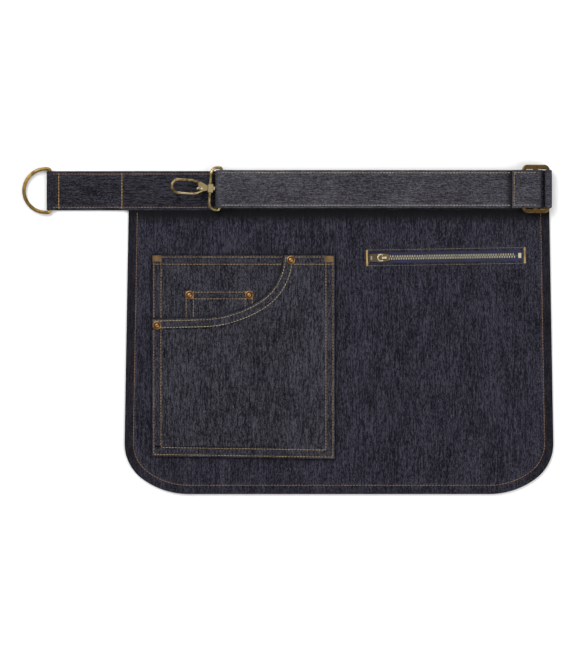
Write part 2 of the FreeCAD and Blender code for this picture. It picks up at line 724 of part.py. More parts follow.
rivetHoles(front, "backingTop", "2 * clothPly", ["scoopLeft", "scoopRight"])

# Rivets: a cap on the face and a shank with a burr on the back


def roundBar(name, x, y, low, radius, height):
    bar = doc.addObject("Part::Cylinder", name)
    bind(bar, "Radius", radius)
    bind(bar, "Height", height)
    for prop, place in (("x", x), ("y", y), ("z", low)):
        bind(bar, "Placement.Base." + prop, place)
    return bar


caps, backs = [], []
for name, (x, y, top) in rivets.items():
    head = roundBar(name + "_head", x, y, top, "rivetRadius", "rivetHigh")
    socket = roundBar(name + "_socket", x, y, top, "rivetShank", "rivetHigh / 2")
    cap = doc.addObject("Part::Cut", name + "_cap")
    cap.Base, cap.Tool = head, socket
    doc.recompute()
    eased = doc.addObject("Part::Chamfer", name + "_eased")
    eased.Base = cap
    rim = [i + 1 for i, edge in enumerate(cap.Shape.Edges)
           if abs(edge.BoundBox.ZMin - amount(top) - amount("rivetHigh")) < 1e-4
           and edge.BoundBox.ZLength < 1e-4]
    eased.Edges = [(edge, amount("rivetHigh") / 2, amount("rivetHigh") / 2) for edge in rim]
    caps.append(eased)
    shank = roundBar(name + "_shank", x, y, "panelLow - rivetBackHigh", "rivetShank",
                     "%s - panelLow + rivetBackHigh + rivetHigh / 2" % top)
    burr = roundBar(name + "_burr", x, y, "panelLow - rivetBackHigh", "rivetBack", "rivetBackHigh")
    back = doc.addObject("Part::Fuse", name + "_back")
    back.Base, back.Tool = shank, burr
    backs.append(back)
for name, pieces in (("rivet_caps", caps), ("rivet_backs", backs)):
    group = doc.addObject("Part::Compound", name)
    group.Links = pieces
    group.Label = name
    made[name] = group

# Zip, in the frame of its chain: X along the chain to the right, the origin at its middle

zipPlace = "placement(vector(zipX; zipY; 0); rotation(vector(0; 0; 1); zipLean))"
offZip = set(made)
for name, side in (("upper", 1), ("lower", -1)):
    edges = sorted(["%d * tapeEdge" % side, "%d * tapeWidth" % side], key=amount)
    slab("zip_tape_" + name, box("chainLeft - tapeOver", "-chainLeft + tapeOver", *edges), "tapeLow", "tapeLow + tapePly")
    teeth = newBody("zip_teeth_" + name)
    start = "chainLeft + %s * toothPitch" % (0.25 if side > 0 else 0.75)
    tooth = newSketch(teeth, "YZ_Plane", start)
    near, edge, far = ["%d * %s" % (side, size) for size in ("toothNear", "tapeEdge", "toothFar")]
    draw(tooth, [at(near, "toothLow"), at(far, "toothLow"), at(far, "tapeLow"), at(edge, "tapeLow"),
                 at(edge, "tapeLow + tapePly"), at(far, "tapeLow + tapePly"), at(far, "toothTop"),
                 at(near, "toothTop")])
    one = pad(teeth, tooth, "toothLong")
    doc.recompute()
    row = teeth.newObject("PartDesign::LinearPattern", "teeth_row_" + name)
    row.Originals = [one]
    row.Mode = "Spacing"
    row.Direction = ([f for f in teeth.Origin.OriginFeatures if f.Role == "X_Axis"][0], [""])
    bind(row, "Offset", "toothPitch")
    bind(row, "Occurrences", "floor((zipChain - toothPitch) / toothPitch)")
    teeth.Tip = row

for name, x in (("zip_top_stop", "chainLeft - stopGap - stopLong"), ("zip_bottom_stop", "-chainLeft + stopGap")):
    stop = newBody(name)
    clamp = newSketch(stop, "YZ_Plane", x)
    low, high = "toothLow", "toothTop"
    draw(clamp, [at("-toothFar", low), at("toothFar", low), at("toothFar", "tapeLow"),
                 at("tapeEdge", "tapeLow"), at("tapeEdge", "tapeLow + tapePly"),
                 at("toothFar", "tapeLow + tapePly"), at("toothFar", high), at("-toothFar", high),
                 at("-toothFar", "tapeLow + tapePly"), at("-tapeEdge", "tapeLow + tapePly"),
                 at("-tapeEdge", "tapeLow"), at("-toothFar", "tapeLow")])
    pad(stop, clamp, "stopLong")

runner = newBody("zip_slider_body")
half = "runnerWide / 2"
noseEnd = "runnerLeft + runnerLong"
plate = [at("runnerLeft", "-" + half), at("runnerLeft + runnerLong * runnerShoulder", "-" + half),
         at(noseEnd, "-(%s) * runnerNose" % half), at(noseEnd, "(%s) * runnerNose" % half),
         at("runnerLeft + runnerLong * runnerShoulder", half), at("runnerLeft", half)]
block(runner, plate, "runnerTop - runnerPly", "runnerTop")
block(runner, plate, "runnerLow", "runnerLow + runnerPly")
block(runner, box("runnerLeft + wedgeIn", "runnerLeft + wedgeIn + wedgeLong", "-wedgeHalf", "wedgeHalf"), "runnerLow", "runnerTop")
for side in (1, -1):
    inner, outer = "%d * (toothFar + flangeGap)" % side, "%d * (toothFar + flangeGap + flangePly)" % side
    edges = sorted([inner, outer], key=amount)
    flange = box("runnerLeft + wedgeIn", noseEnd + " - wedgeIn", *edges)
    block(runner, flange, "tapeLow + tapePly + plyGap", "runnerTop")
    block(runner, flange, "runnerLow", "tapeLow - plyGap")

arch = newBody("zip_slider_crown")
archSide = newSketch(arch, "XZ_Plane", "-arcadeWide / 2")
archLeft, archRight = "pullPivotX - arcadeHalf - arcadePly", "pullPivotX + arcadeHalf + arcadePly"
archTop = "pullLow + pullPly + arcadeRoom"
draw(archSide, [at(archLeft, "runnerTop"), at("pullPivotX - arcadeHalf", "runnerTop"),
                at("pullPivotX - arcadeHalf", archTop), at("pullPivotX + arcadeHalf", archTop),
                at("pullPivotX + arcadeHalf", "runnerTop"), at(archRight, "runnerTop"),
                rounded(archRight, archTop + " + arcadePly", "arcadeBend"),
                rounded(archLeft, archTop + " + arcadePly", "arcadeBend")])
pad(arch, archSide, "arcadeWide")

pull = newBody("zip_pull")
eyeX = "pullPivotX - (pullEye + pullEyeHole) / 2"
tabRight, tabLeft = "%s - pullEye + 1" % eyeX, "%s - pullEye + 1 - pullLong" % eyeX
block(pull, [rounded(tabLeft, "-pullWide / 2", "1.5"), rounded(tabRight, "-pullWide / 2", "1.5"),
             rounded(tabRight, "pullWide / 2", "1.5"), rounded(tabLeft, "pullWide / 2", "1.5")],
      "pullLow", "pullLow + pullPly")
eye = newSketch(pull, "XY_Plane", "pullLow")
disc(eye, eyeX, "0", "pullEye")
pad(pull, eye, "pullPly")
eyeHole = newSketch(pull, "XY_Plane", "pullLow")
disc(eyeHole, eyeX, "0", "pullEyeHole")
cut(pull, eyeHole, "pullPly")
pintle = newSketch(pull, "XZ_Plane", "-pintleWide / 2")
disc(pintle, "pullPivotX", "pullLow + pullPly / 2", "pintleRadius")
pad(pull, pintle, "pintleWide")
pullSlot = newSketch(pull, "XY_Plane", "pullLow")
draw(pullSlot, box(tabLeft + " + 1.6", tabLeft + " + 3.2", "-pullWide / 4", "pullWide / 4"))
cut(pull, pullSlot, "pullPly")

bag = newBody("zip_pocket_bag")
bagSketch = newSketch(bag, "YZ_Plane", "chainLeft - bagSide")
draw(bagSketch, [at("-bagDepth", "bagLow"), at("tapeWidth", "bagLow"), at("tapeWidth", "bagLow + bagPly"),
                 at("-tapeWidth - bagLap", "bagLow + bagPly"), at("-tapeWidth - bagLap", "tapeLow - bagLow"),
                 at("-bagDepth", "tapeLow - bagLow")])
pad(bag, bagSketch, "zipChain + 2 * bagSide")

for name in set(made) - offZip:
    bind(made[name], "Placement", zipPlace)

doc.recompute()

faults = ["%s: %s" % (item.Name, ", ".join(item.State)) for item in doc.Objects
          if {"Invalid", "Error"} & set(item.State)]
for name, piece in made.items():
    if piece.Shape.isNull() or not piece.Shape.isValid() or not piece.Shape.Solids:
        faults.append(name + ": no valid solid")
if faults:
    raise RuntimeError("; ".join(faults))

os.makedirs("parts", exist_ok=True)
for name, piece in made.items():
    piece.Shape.exportStep("parts/%s.step" % name)
    extent = piece.Shape.BoundBox
    print("%-18s %3d solid(s) %9.1f mm3  x %.1f..%.1f  y %.1f..%.1f  z %.2f..%.2f" % (
        name, len(piece.Shape.Solids), piece.Shape.Volume, extent.XMin, extent.XMax,
        extent.YMin, extent.YMax, extent.ZMin, extent.ZMax))
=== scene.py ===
import bmesh
import bpy
import json
import random
from bisect import bisect_left
from math import acos, atan2, cos, degrees, exp, hypot, pi, radians, sin, tan
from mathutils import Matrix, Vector, kdtree, noise

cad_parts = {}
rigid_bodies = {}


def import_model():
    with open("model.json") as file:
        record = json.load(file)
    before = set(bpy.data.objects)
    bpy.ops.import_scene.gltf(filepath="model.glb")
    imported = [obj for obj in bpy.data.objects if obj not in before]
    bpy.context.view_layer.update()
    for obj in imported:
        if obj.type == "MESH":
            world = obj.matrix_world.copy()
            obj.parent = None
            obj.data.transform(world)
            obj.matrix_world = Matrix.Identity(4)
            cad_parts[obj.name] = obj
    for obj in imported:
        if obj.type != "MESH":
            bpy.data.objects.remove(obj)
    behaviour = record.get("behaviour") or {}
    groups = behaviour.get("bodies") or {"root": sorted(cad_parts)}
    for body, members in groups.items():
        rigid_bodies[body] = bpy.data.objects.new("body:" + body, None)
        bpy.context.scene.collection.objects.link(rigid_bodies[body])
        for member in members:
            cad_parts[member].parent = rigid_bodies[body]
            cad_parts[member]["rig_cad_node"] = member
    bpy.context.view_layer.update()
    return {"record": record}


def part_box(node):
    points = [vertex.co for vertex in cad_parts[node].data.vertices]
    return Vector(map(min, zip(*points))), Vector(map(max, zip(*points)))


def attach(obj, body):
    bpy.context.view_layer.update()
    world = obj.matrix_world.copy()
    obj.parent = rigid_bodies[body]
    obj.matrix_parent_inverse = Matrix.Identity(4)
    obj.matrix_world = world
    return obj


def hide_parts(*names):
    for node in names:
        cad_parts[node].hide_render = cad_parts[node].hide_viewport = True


# Waist apron laid flat. The metal parts come from the frame; the cloth, thread, rivets and zip
# teeth are made here around them. Lengths are in metres, written as so many mm.

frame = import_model()
mm = 0.001
scene = bpy.context.scene
random.seed(7)


def boxOf(node):
    low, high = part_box(node)
    return {"x0": low[0], "y0": low[1], "z0": low[2], "x1": high[0], "y1": high[1], "z1": high[2]}


panelBox, bandBox, backBox = boxOf("main_panel"), boxOf("waistband_front"), boxOf("waistband_back")
backingBox, frontBox, coinBox = boxOf("pocket_backing"), boxOf("pocket_front"), boxOf("coin_pocket")


# Camera, straight above and far off, so that nothing leans
view = {"x": -3 * mm, "y": 0, "lens": 180, "width": 570 * mm}
cameraData = bpy.data.cameras.new("camera")
cameraData.lens = view["lens"]
cameraData.clip_end = 20
camera = bpy.data.objects.new("camera", cameraData)
frameHigh = view["width"] * 659 / 570
camera.location = (view["x"], view["y"], frameHigh * view["lens"] / cameraData.sensor_width + 5 * mm)
scene.collection.objects.link(camera)
scene.camera = camera
scene.view_settings.view_transform = "Standard"

# Soft studio light and a pale floor
lights = [
    {"name": "keyLight", "at": (-0.9, 1.1, 1.7), "size": 1.3, "power": 33},
    {"name": "fillLight", "at": (1.2, -0.7, 1.5), "size": 1.6, "power": 21},
    {"name": "lowLight", "at": (0.2, 1.8, 0.7), "size": 0.9, "power": 8},
]
for spec in lights:
    data = bpy.data.lights.new(spec["name"], "AREA")
    data.size = spec["size"]
    data.energy = spec["power"]
    lamp = bpy.data.objects.new(spec["name"], data)
    lamp.location = spec["at"]
    lamp.rotation_euler = (-Vector(spec["at"])).to_track_quat("-Z", "Y").to_euler()
    scene.collection.objects.link(lamp)
world = bpy.data.worlds.new("studio")
world.use_nodes = True
sky = world.node_tree.nodes["Background"].inputs
sky["Color"].default_value = (1, 1, 1, 1)
sky["Strength"].default_value = 0.42
scene.world = world
print("camera and lights")


# Materials. A Field wraps a socket, so that sums on fields add their own Math nodes.
class Field:
    def __init__(self, shader, socket):
        self.shader, self.socket = shader, socket

    def join(self, operation, first, second):
        return self.shader.add("Math", {"operation": operation}, {0: first, 1: second})

    def __add__(self, other):
        return self.join("ADD", self, other)

    __radd__ = __add__

    def __sub__(self, other):
        return self.join("SUBTRACT", self, other)

    def __rsub__(self, other):
        return self.join("SUBTRACT", other, self)

    def __mul__(self, other):
        return self.join("MULTIPLY", self, other)

    __rmul__ = __mul__


class Shader:
    def __init__(self, name):
        self.material = bpy.data.materials.new(name)
        self.material.use_nodes = True
        self.tree = self.material.node_tree
        self.surface = self.tree.nodes["Principled BSDF"]

    def add(self, kind, settings=None, values=None, out=0):
        node = self.tree.nodes.new("ShaderNode" + kind)
        for key, value in (settings or {}).items():
            if key == "stops":
                ramp = node.color_ramp
                while len(ramp.elements) < len(value):
                    ramp.elements.new(0.5)
                for element, (place, colour) in zip(ramp.elements, value):
                    element.position = place
                    element.color = colour
            else:
                setattr(node, key, value)
        for key, value in (values or {}).items():
            self.feed(node.inputs[key], value)
        return Field(self, node.outputs[out])

    def feed(self, socket, value):
        if isinstance(value, Field):
            self.tree.links.new(value.socket, socket)
        else:
            socket.default_value = value

    def set(self, **values):
        for name, value in values.items():
            self.feed(self.surface.inputs[name.replace("_", " ")], value)
        return self.material

    def place(self, stretch=(1, 1, 1)):
        spot = self.add("TexCoord", out="Object")
        return self.add("Mapping", {"vector_type": "POINT"}, {"Vector": spot, "Scale": stretch})

    def grain(self, size, stretch=(1, 1, 1), detail=3, roughness=0.5):
        where = self.place([s / size for s in stretch])
        return self.add("TexNoise", {}, {"Vector": where, "Scale": 1, "Detail": detail,
                                                   "Roughness": roughness})

    def ramp(self, value, *stops):
        return self.add("ValToRGB", {"stops": [(place, colour) for place, colour in stops]},
                        {"Fac": value})

    def level(self, value, low, high, toLow=0, toHigh=1):
        return self.add("MapRange", {"clamp": True}, {
            "Value": value, "From Min": low, "From Max": high, "To Min": toLow, "To Max": toHigh})

    def blend(self, share, first, second, mode="MIX"):
        settings = {"data_type": "RGBA", "blend_type": mode}
        return self.add("Mix", settings, {0: share, 6: first, 7: second}, 2)

    def sine(self, value):
        return self.add("Math", {"operation": "SINE"}, {0: value})

    def mark(self, name):
        return self.add("Attribute", {"attribute_name": name}, out="Fac")

    def bump(self, height, strength, distance):
        return self.add("Bump", {}, {"Height": height, "Strength": strength, "Distance": distance})


def shade(red, green, blue):
    # a colour given by its 0 to 255 screen values
    return tuple(((c / 255 + 0.055) / 1.055) ** 2.4 if c > 10 else c / 255 / 12.92
                 for c in (red, green, blue)) + (1,)


def denimCloth(name, dark, mid, pale, grainAlong="y", streak=1.0):
    cloth = Shader(name)
    along = (1, 0.06, 1) if grainAlong == "y" else (0.06, 1, 1)
    short = (1, 0.24, 1) if grainAlong == "y" else (0.24, 1, 1)
    slub = cloth.grain(1.0 * mm, along, 3, 0.6)
    fleck = cloth.grain(0.85 * mm, short, 3, 0.7)
    speck = cloth.grain(0.75 * mm, (1, 1, 1), 2, 0.7)
    cloud = cloth.grain(24 * mm, (1, 0.45, 1) if grainAlong == "y" else (0.45, 1, 1), 3, 0.6)
    tone = slub * (0.55 * streak) + fleck * (0.95 * streak) + speck * 0.75 + cloud * 0.22
    middle = 0.5 * (1.5 * streak + 0.97)
    colour = cloth.ramp(tone - middle + 0.5, (0.36, shade(*dark)), (0.5, shade(*mid)), (0.64, shade(*pale)))
    worn = cloth.mark("wear")
    puckers = cloth.grain(2.6 * mm, (1, 1, 1), 2, 0.5)
    rubbed = worn * cloth.level(puckers, 0.42, 0.62, 0.05, 0.8)
    colour = cloth.blend(rubbed, colour, shade(*[c + 30 for c in mid]))
    # painted shade: near black mixed in where the mark is set, under and beside other parts
    colour = cloth.blend(cloth.mark("deep"), colour, shade(14, 13, 17))
    # twill: fine ribs at a slant
    spot = cloth.place((1, 1, 1))
    x, y = [cloth.add("SeparateXYZ", {}, {0: spot}, out) for out in (0, 1)]
    across, length = (x, y) if grainAlong == "y" else (y, x)
    rib = cloth.sine((across * 0.9 + length * 0.5) * (2 * pi / (0.72 * mm)))
    thread = cloth.sine((across * 0.35 - length) * (2 * pi / (0.5 * mm)))
    height = rib * 0.5 + thread * 0.25 + slub * 0.9 + fleck * 0.5
    return cloth.set(Base_Color=colour, Roughness=cloth.level(slub, 0.3, 0.7, 0.98, 0.82),
                     Normal=cloth.bump(height, 0.5, 0.1 * mm), Specular_IOR_Level=0.12)


def threadStuff(name, low, high):
    thread = Shader(name)
    spun = thread.grain(0.5 * mm, (1, 1, 1), 2)
    tint = thread.grain(9 * mm, (1, 1, 1), 2)
    colour = thread.blend(thread.level(tint + spun * 0.4, 0.5, 0.95), shade(*low), shade(*high))
    return thread.set(Base_Color=colour, Roughness=0.62, Normal=thread.bump(spun, 0.5, 0.05 * mm),
                      Sheen_Weight=0.2, Specular_IOR_Level=0.4)


def agedMetal(name, bright, dull, stain, roughLow=0.26, roughHigh=0.5, patina=0.5):
    metal = Shader(name)
    cloud = metal.grain(3.2 * mm, (1, 1, 1), 4, 0.6)
    fine = metal.grain(0.35 * mm, (1, 1, 1), 3, 0.6)
    edge = metal.add("NewGeometry", out="Pointiness")
    worn = metal.level(edge, 0.5, 0.56)
    colour = metal.blend(metal.level(cloud, 0.4, 0.66), shade(*bright), shade(*dull))
    colour = metal.blend(metal.level(cloud + fine * 0.5, 0.72, 1.0) * patina, colour, shade(*stain))
    colour = metal.blend(worn * 0.5, colour, shade(*[min(255, c + 45) for c in bright]))
    # where the mark is set, the stain colour: patina in the rivet caps' groove, and painted shadow round their
    # flange
    colour = metal.blend(metal.mark("deep"), colour, shade(*stain))
    rough = metal.level(cloud + fine * 0.3, 0.45, 0.85, roughLow, roughHigh)
    return metal.set(Base_Color=colour, Metallic=1.0, Roughness=rough,
                     Normal=metal.bump(fine + cloud, 0.25, 0.05 * mm))


def tapeStuff(name):
    tape = Shader(name)
    rib = tape.grain(0.5 * mm, (1, 0.15, 1), 2)
    cloud = tape.grain(16 * mm)
    colour = tape.ramp(rib * 0.6 + cloud * 0.4, (0.35, shade(5, 7, 24)), (0.52, shade(13, 17, 56)),
                       (0.68, shade(28, 35, 96)))
    # painted shade on the tape where the mark is set, next to the teeth
    colour = tape.blend(tape.mark("deep"), colour, shade(8, 8, 14))
    return tape.set(Base_Color=colour, Roughness=0.8, Normal=tape.bump(rib, 0.6, 0.1 * mm), Sheen_Weight=0.2)


def cottonStuff(name):
    cotton = Shader(name)
    warp = cotton.grain(0.6 * mm, (1, 0.2, 1), 2)
    weft = cotton.grain(0.6 * mm, (0.2, 1, 1), 2)
    colour = cotton.ramp(warp * 0.5 + weft * 0.5, (0.38, shade(40, 41, 50)), (0.62, shade(74, 76, 88)))
    return cotton.set(Base_Color=colour, Roughness=0.9, Normal=cotton.bump(warp + weft, 0.5, 0.1 * mm))


panelDenim = denimCloth("panelDenim", (9, 8, 15), (29, 28, 38), (61, 60, 71))
pocketDenim = denimCloth("pocketDenim", (12, 11, 18), (34, 33, 41), (69, 68, 76))
bandDenim = denimCloth("bandDenim", (7, 6, 12), (28, 27, 34), (60, 59, 67), "x", 0.95)
beltDenim = denimCloth("beltDenim", (26, 25, 31), (50, 49, 55), (83, 82, 89), "x", 0.85)
goldThread = threadStuff("goldThread", (104, 78, 42), (172, 144, 92))
tanThread = threadStuff("tanThread", (106, 96, 84), (176, 166, 148))
paleThread = threadStuff("paleThread", (120, 104, 72), (184, 172, 136))
hemThread = threadStuff("hemThread", (88, 62, 40), (142, 104, 64))
tabThread = threadStuff("tabThread", (150, 112, 52), (210, 168, 92))
bandThread = threadStuff("bandThread", (92, 68, 54), (150, 110, 80))
windowThread = threadStuff("windowThread", (66, 58, 44), (122, 106, 78))
endThread = threadStuff("endThread", (122, 98, 50), (188, 158, 92))
tackThread = threadStuff("tackThread", (70, 50, 24), (118, 88, 42))
antiqueBrass = agedMetal("antiqueBrass", (142, 114, 62), (98, 76, 36), (46, 34, 18))
paleBrass = agedMetal("paleBrass", (158, 140, 98), (104, 88, 54), (48, 38, 22), 0.2, 0.4, 0.7)
wornBrass = agedMetal("wornBrass", (138, 120, 80), (86, 72, 44), (40, 32, 18), 0.24, 0.44, 0.9)
blackBrass = agedMetal("blackBrass", (74, 62, 42), (48, 39, 25), (20, 15, 9))
darkBrass = agedMetal("darkBrass", (104, 82, 44), (70, 54, 28), (30, 22, 12))
toothBrass = agedMetal("toothBrass", (236, 218, 182), (178, 154, 116), (84, 66, 44), 0.22, 0.4, 0.3)
copperBrass = agedMetal("copperBrass", (166, 122, 74), (112, 80, 44), (48, 32, 18), 0.28, 0.46, 0.6)
navyTape = tapeStuff("navyTape")
pocketCotton = cottonStuff("pocketCotton")
print("materials")


# Mesh helpers
def smoothStep(low, high, value):
    share = min(1, max(0, (value - low) / (high - low)))
    return share * share * (3 - 2 * share)


def slope(x, x1, x2, z1, z2):
    return z1 + (z2 - z1) * max(0, min(1, (x - x1) / (x2 - x1)))


def bell(value, middle, width):
    return exp(-((value - middle) / width) ** 2)


def runLengths(line):
    # the distance along a line at each of its places
    lengths = [0]
    for a, b in zip(line, line[1:]):
        lengths.append(lengths[-1] + (b - a).length)
    return lengths


def stackFaces(base, ring, levels):
    # sides and both ends of equal rings of places, one above another
    faces = []
    for c in range(base, base + (levels - 1) * ring, ring):
        for j in range(ring):
            faces.append((c + j, c + (j + 1) % ring, c + ring + (j + 1) % ring, c + ring + j))
    faces.append(tuple(base + j for j in reversed(range(ring))))
    faces.append(tuple(base + (levels - 1) * ring + j for j in range(ring)))
    return faces


def roundedLine(corners, step=1.5 * mm):
    # a line through corners (x, y) or (x, y, radius), with each radius drawn as an arc
    points = []
    for i, corner in enumerate(corners):
        here = Vector(corner[:2])
        if len(corner) < 3:
            points.append(here)
            continue
        into = (here - Vector(corners[i - 1][:2])).normalized()
        out = (Vector(corners[i + 1][:2]) - here).normalized()
        turn = into.angle(out)
        cut = corner[2] * tan(turn / 2)
        side = 1 if into.x * out.y - into.y * out.x > 0 else -1
        start = here - into * cut
        centre = start + Vector((-into.y, into.x)) * side * corner[2]
        steps = max(2, int(turn * corner[2] / step))
        for k in range(steps + 1):
            angle = side * turn * k / steps
            arm = start - centre
            points.append(centre + Vector((arm.x * cos(angle) - arm.y * sin(angle),
                                           arm.x * sin(angle) + arm.y * cos(angle))))
    return points


def placeOn(line, lengths, distance):
    # the place and the direction at a distance along a line
    k = min(len(line) - 2, max(0, bisect_left(lengths, distance) - 1))
    span = max(1e-9, lengths[k + 1] - lengths[k])
    return line[k].lerp(line[k + 1], min(1, (distance - lengths[k]) / span)), (line[k + 1] - line[k]).normalized()


def resample(points, step):
    # evenly spaced places and directions along a line of 2-D points
    lengths = runLengths(points)
    count = max(1, round(lengths[-1] / step))
    return [placeOn(points, lengths, lengths[-1] * i / count) for i in range(count + 1)]


def makePiece(name, verts, faces, material, marks=None, smooth=True):
    mesh = bpy.data.meshes.new(name)
    mesh.from_pydata([tuple(v) for v in verts], [], faces)
    mesh.validate()
    for key, values in (marks or {}).items():
        layer = mesh.attributes.new(key, "FLOAT", "POINT")
        layer.data.foreach_set("value", values)
    if smooth:
        mesh.polygons.foreach_set("use_smooth", [True] * len(mesh.polygons))
    piece = bpy.data.objects.new(name, mesh)
    scene.collection.objects.link(piece)
    mesh.materials.append(material)
    work = bmesh.new()
    work.from_mesh(mesh)
    bmesh.ops.recalc_face_normals(work, faces=work.faces)
    work.to_mesh(mesh)
    work.free()
    return piece


def stations(length, fine, gap):
    # distances along a lane: close together near both ends, evenly spaced between
    near = [d for d in fine if d < length * 0.45]
    middle = length - 2 * near[-1]
    count = max(1, round(middle / gap))
    inner = [near[-1] + middle * i / count for i in range(1, count)]
    return near + inner + [length - d for d in reversed(near)]


def clothSheet(name, lanes, material, topAt, lowAt, fine, gap, marksAt=lambda x, y: {}):
    # a thin closed piece of cloth on lanes of places; every lane has the same number of stations
    longest = max((b - a).length for a, b in lanes)
    shares = [d / longest for d in stations(longest, fine, gap)]
    nearCount = len([d for d in fine if d < longest * 0.45])
    verts, marks = [], {}
    grid = []
    for a, b in lanes:
        length = (b - a).length
        row = []
        for i, share in enumerate(shares):
            if i < nearCount and length > 4 * fine[-1]:
                share = fine[i] / length
            elif i >= len(shares) - nearCount and length > 4 * fine[-1]:
                share = 1 - fine[len(shares) - 1 - i] / length
            row.append(a.lerp(b, share))
        grid.append(row)
    rows, columns = len(grid), len(grid[0])
    for side in (topAt, lowAt):
        for row in grid:
            for p in row:
                verts.append((p.x, p.y, side(p.x, p.y)))
                for key, value in marksAt(p.x, p.y).items():
                    marks.setdefault(key, []).append(value)
    faces = []
    half = rows * columns
    for r in range(rows - 1):
        for c in range(columns - 1):
            a = r * columns + c
            faces.append((a, a + 1, a + columns + 1, a + columns))
            faces.append((half + a + columns, half + a + columns + 1, half + a + 1, half + a))
    rim = list(range(columns)) + [r * columns + columns - 1 for r in range(1, rows)]
    rim += [(rows - 1) * columns + c for c in range(columns - 2, -1, -1)]
    rim += [r * columns for r in range(rows - 2, 0, -1)]
    for a, b in zip(rim, rim[1:] + rim[:1]):
        faces.append((b, a, half + a, half + b))
    return makePiece(name, verts, faces, material, marks)


def ribbon(name, path, ply, edges, material, marksAt):
    # a strap: its middle line (x, z) seen from the front, as thick as ply, between two edges in y
    lengths = runLengths(path)
    across = [0, 0.02, 0.05, 0.075, 0.11, 0.2, 0.35, 0.5, 0.65, 0.8, 0.89, 0.925, 0.95, 0.98, 1]
    fullness = [0, 0.75, 0.98, 0.84, 0.98, 1, 1, 1, 1, 1, 0.98, 0.84, 0.98, 0.75, 0]
    verts, faces, marks = [], [], {}
    for i, here in enumerate(path):
        before, after = path[max(0, i - 1)], path[min(len(path) - 1, i + 1)]
        run = (after - before).normalized()
        normal = Vector((-run.y, run.x))
        low, high = edges
        endRound = min(1, 0.35 + min(lengths[i], lengths[-1] - lengths[i]) / (0.8 * mm))
        for side in (1, -1):
            for share, full in zip(across, fullness):
                offset = normal * side * (ply / 2) * full * endRound
                y = low + (high - low) * share
                wave = 0.1 * mm * noise.noise(Vector((here.x * 60, y * 90, lengths[i] * 30)))
                verts.append((here.x + offset.x, y, here.y + offset.y + wave))
                for markName, value in marksAt(share, lengths[i] / lengths[-1], here.x).items():
                    marks.setdefault(markName, []).append(value)
    width = len(across)
    ring = 2 * width
    for i in range(len(path) - 1):
        for side in (0, 1):
            for k in range(width - 1):
                a = i * ring + side * width + k
                quad = (a, a + 1, a + ring + 1, a + ring)
                faces.append(quad if side else quad[::-1])
        for k in (0, width - 1):
            a, b = i * ring + k, i * ring + width + k
            quad = (a, b, b + ring, a + ring)
            faces.append(quad if k == 0 else quad[::-1])
    for start in (0, (len(path) - 1) * ring):
        for k in range(width - 1):
            a = start + k
            quad = (a, a + 1, a + width + 1, a + width)
            faces.append(quad if start else quad[::-1])
    return makePiece(name, verts, faces, material, marks), lengths[-1]


def sewing(name, rows, material, body, long=2.5 * mm, gap=0.55 * mm, thick=0.34 * mm, jitter=0.06 * mm):
    # stitches along rows; a row is a list of points (x, y, z) that lie on the cloth
    verts, faces = [], []
    ring = 6
    shape = ((0.0, 0.25), (0.12, 0.8), (0.5, 1.0), (0.88, 0.8), (1.0, 0.25))
    for row in rows:
        lengths = runLengths(row)
        count = max(1, round(lengths[-1] / (long + gap)))
        pitch = lengths[-1] / count
        for i in range(count):
            start, end = i * pitch, i * pitch + long * pitch / (long + gap)
            a, b = placeOn(row, lengths, start)[0], placeOn(row, lengths, end)[0]
            run = (b - a).normalized()
            sideways = Vector((-run.y, run.x, 0))
            if sideways.length < 1e-6:
                sideways = Vector((0, 1, 0))
            sideways.normalize()
            upward = run.cross(sideways)
            upward = upward if upward.z >= 0 else -upward
            shift = sideways * random.uniform(-jitter, jitter)
            skew = sideways * random.uniform(-jitter, jitter) * 0.8
            base = len(verts)
            for share, fat in shape:
                sag = -0.22 * mm if share in (0.0, 1.0) else 0
                middle = a.lerp(b, share) + shift + skew * (share - 0.5) * 2 + upward * (thick * 0.35 + sag)
                for j in range(ring):
                    angle = 2 * pi * j / ring
                    verts.append(middle + sideways * cos(angle) * thick * fat
                                 + upward * sin(angle) * thick * 0.62 * fat)
            faces += stackFaces(base, ring, len(shape))
    piece = makePiece(name, verts, faces, material)
    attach(piece, body)
    return piece


def distanceTo(line):
    # a function of x and y that gives the distance to a line
    samples = resample(line, 0.7 * mm)
    tree = kdtree.KDTree(len(samples))
    for i, (here, run) in enumerate(samples):
        tree.insert((here.x, here.y, 0), i)
    tree.balance()
    return lambda x, y: tree.find((x, y, 0))[2]


def strapLine(start, *legs, last=False):
    # straight runs from place to place, each leg (x, z, step); the last place only when asked for
    found, here = [], Vector(start)
    for x, z, step in legs:
        there = Vector((x, z))
        count = max(1, int((there - here).length / step))
        found += [here.lerp(there, i / count) for i in range(count)]
        here = there
    return found + ([here] if last else [])


def turnRound(x, z, radius, start, end, step=0.3 * mm):
    # places on a circle, angles in degrees
    count = max(4, int(abs(radians(end - start)) * radius / step))
    return [Vector((x + radius * cos(radians(start + (end - start) * i / count)),
                    z + radius * sin(radians(start + (end - start) * i / count)))) for i in range(count)]


def sweepRound(name, path, profile, material, body, **marks):
    # a closed profile of (inset, z) carried along an open line of (place, direction)
    verts, faces = [], []
    ring = len(profile)
    for here, run in path:
        inward = Vector((-run.y, run.x))
        for inset, z in profile:
            verts.append((here.x + inward.x * inset, here.y + inward.y * inset, z))
    for i in range(len(path) - 1):
        for k in range(ring):
            a, b = i * ring + k, i * ring + (k + 1) % ring
            faces.append((a, b, b + ring, a + ring))
    faces.append(tuple(range(ring)))
    faces.append(tuple((len(path) - 1) * ring + k for k in reversed(range(ring))))
    piece = makePiece(name, verts, faces, material, {key: [value] * len(verts) for key, value in marks.items()})
    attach(piece, body)
    return piece


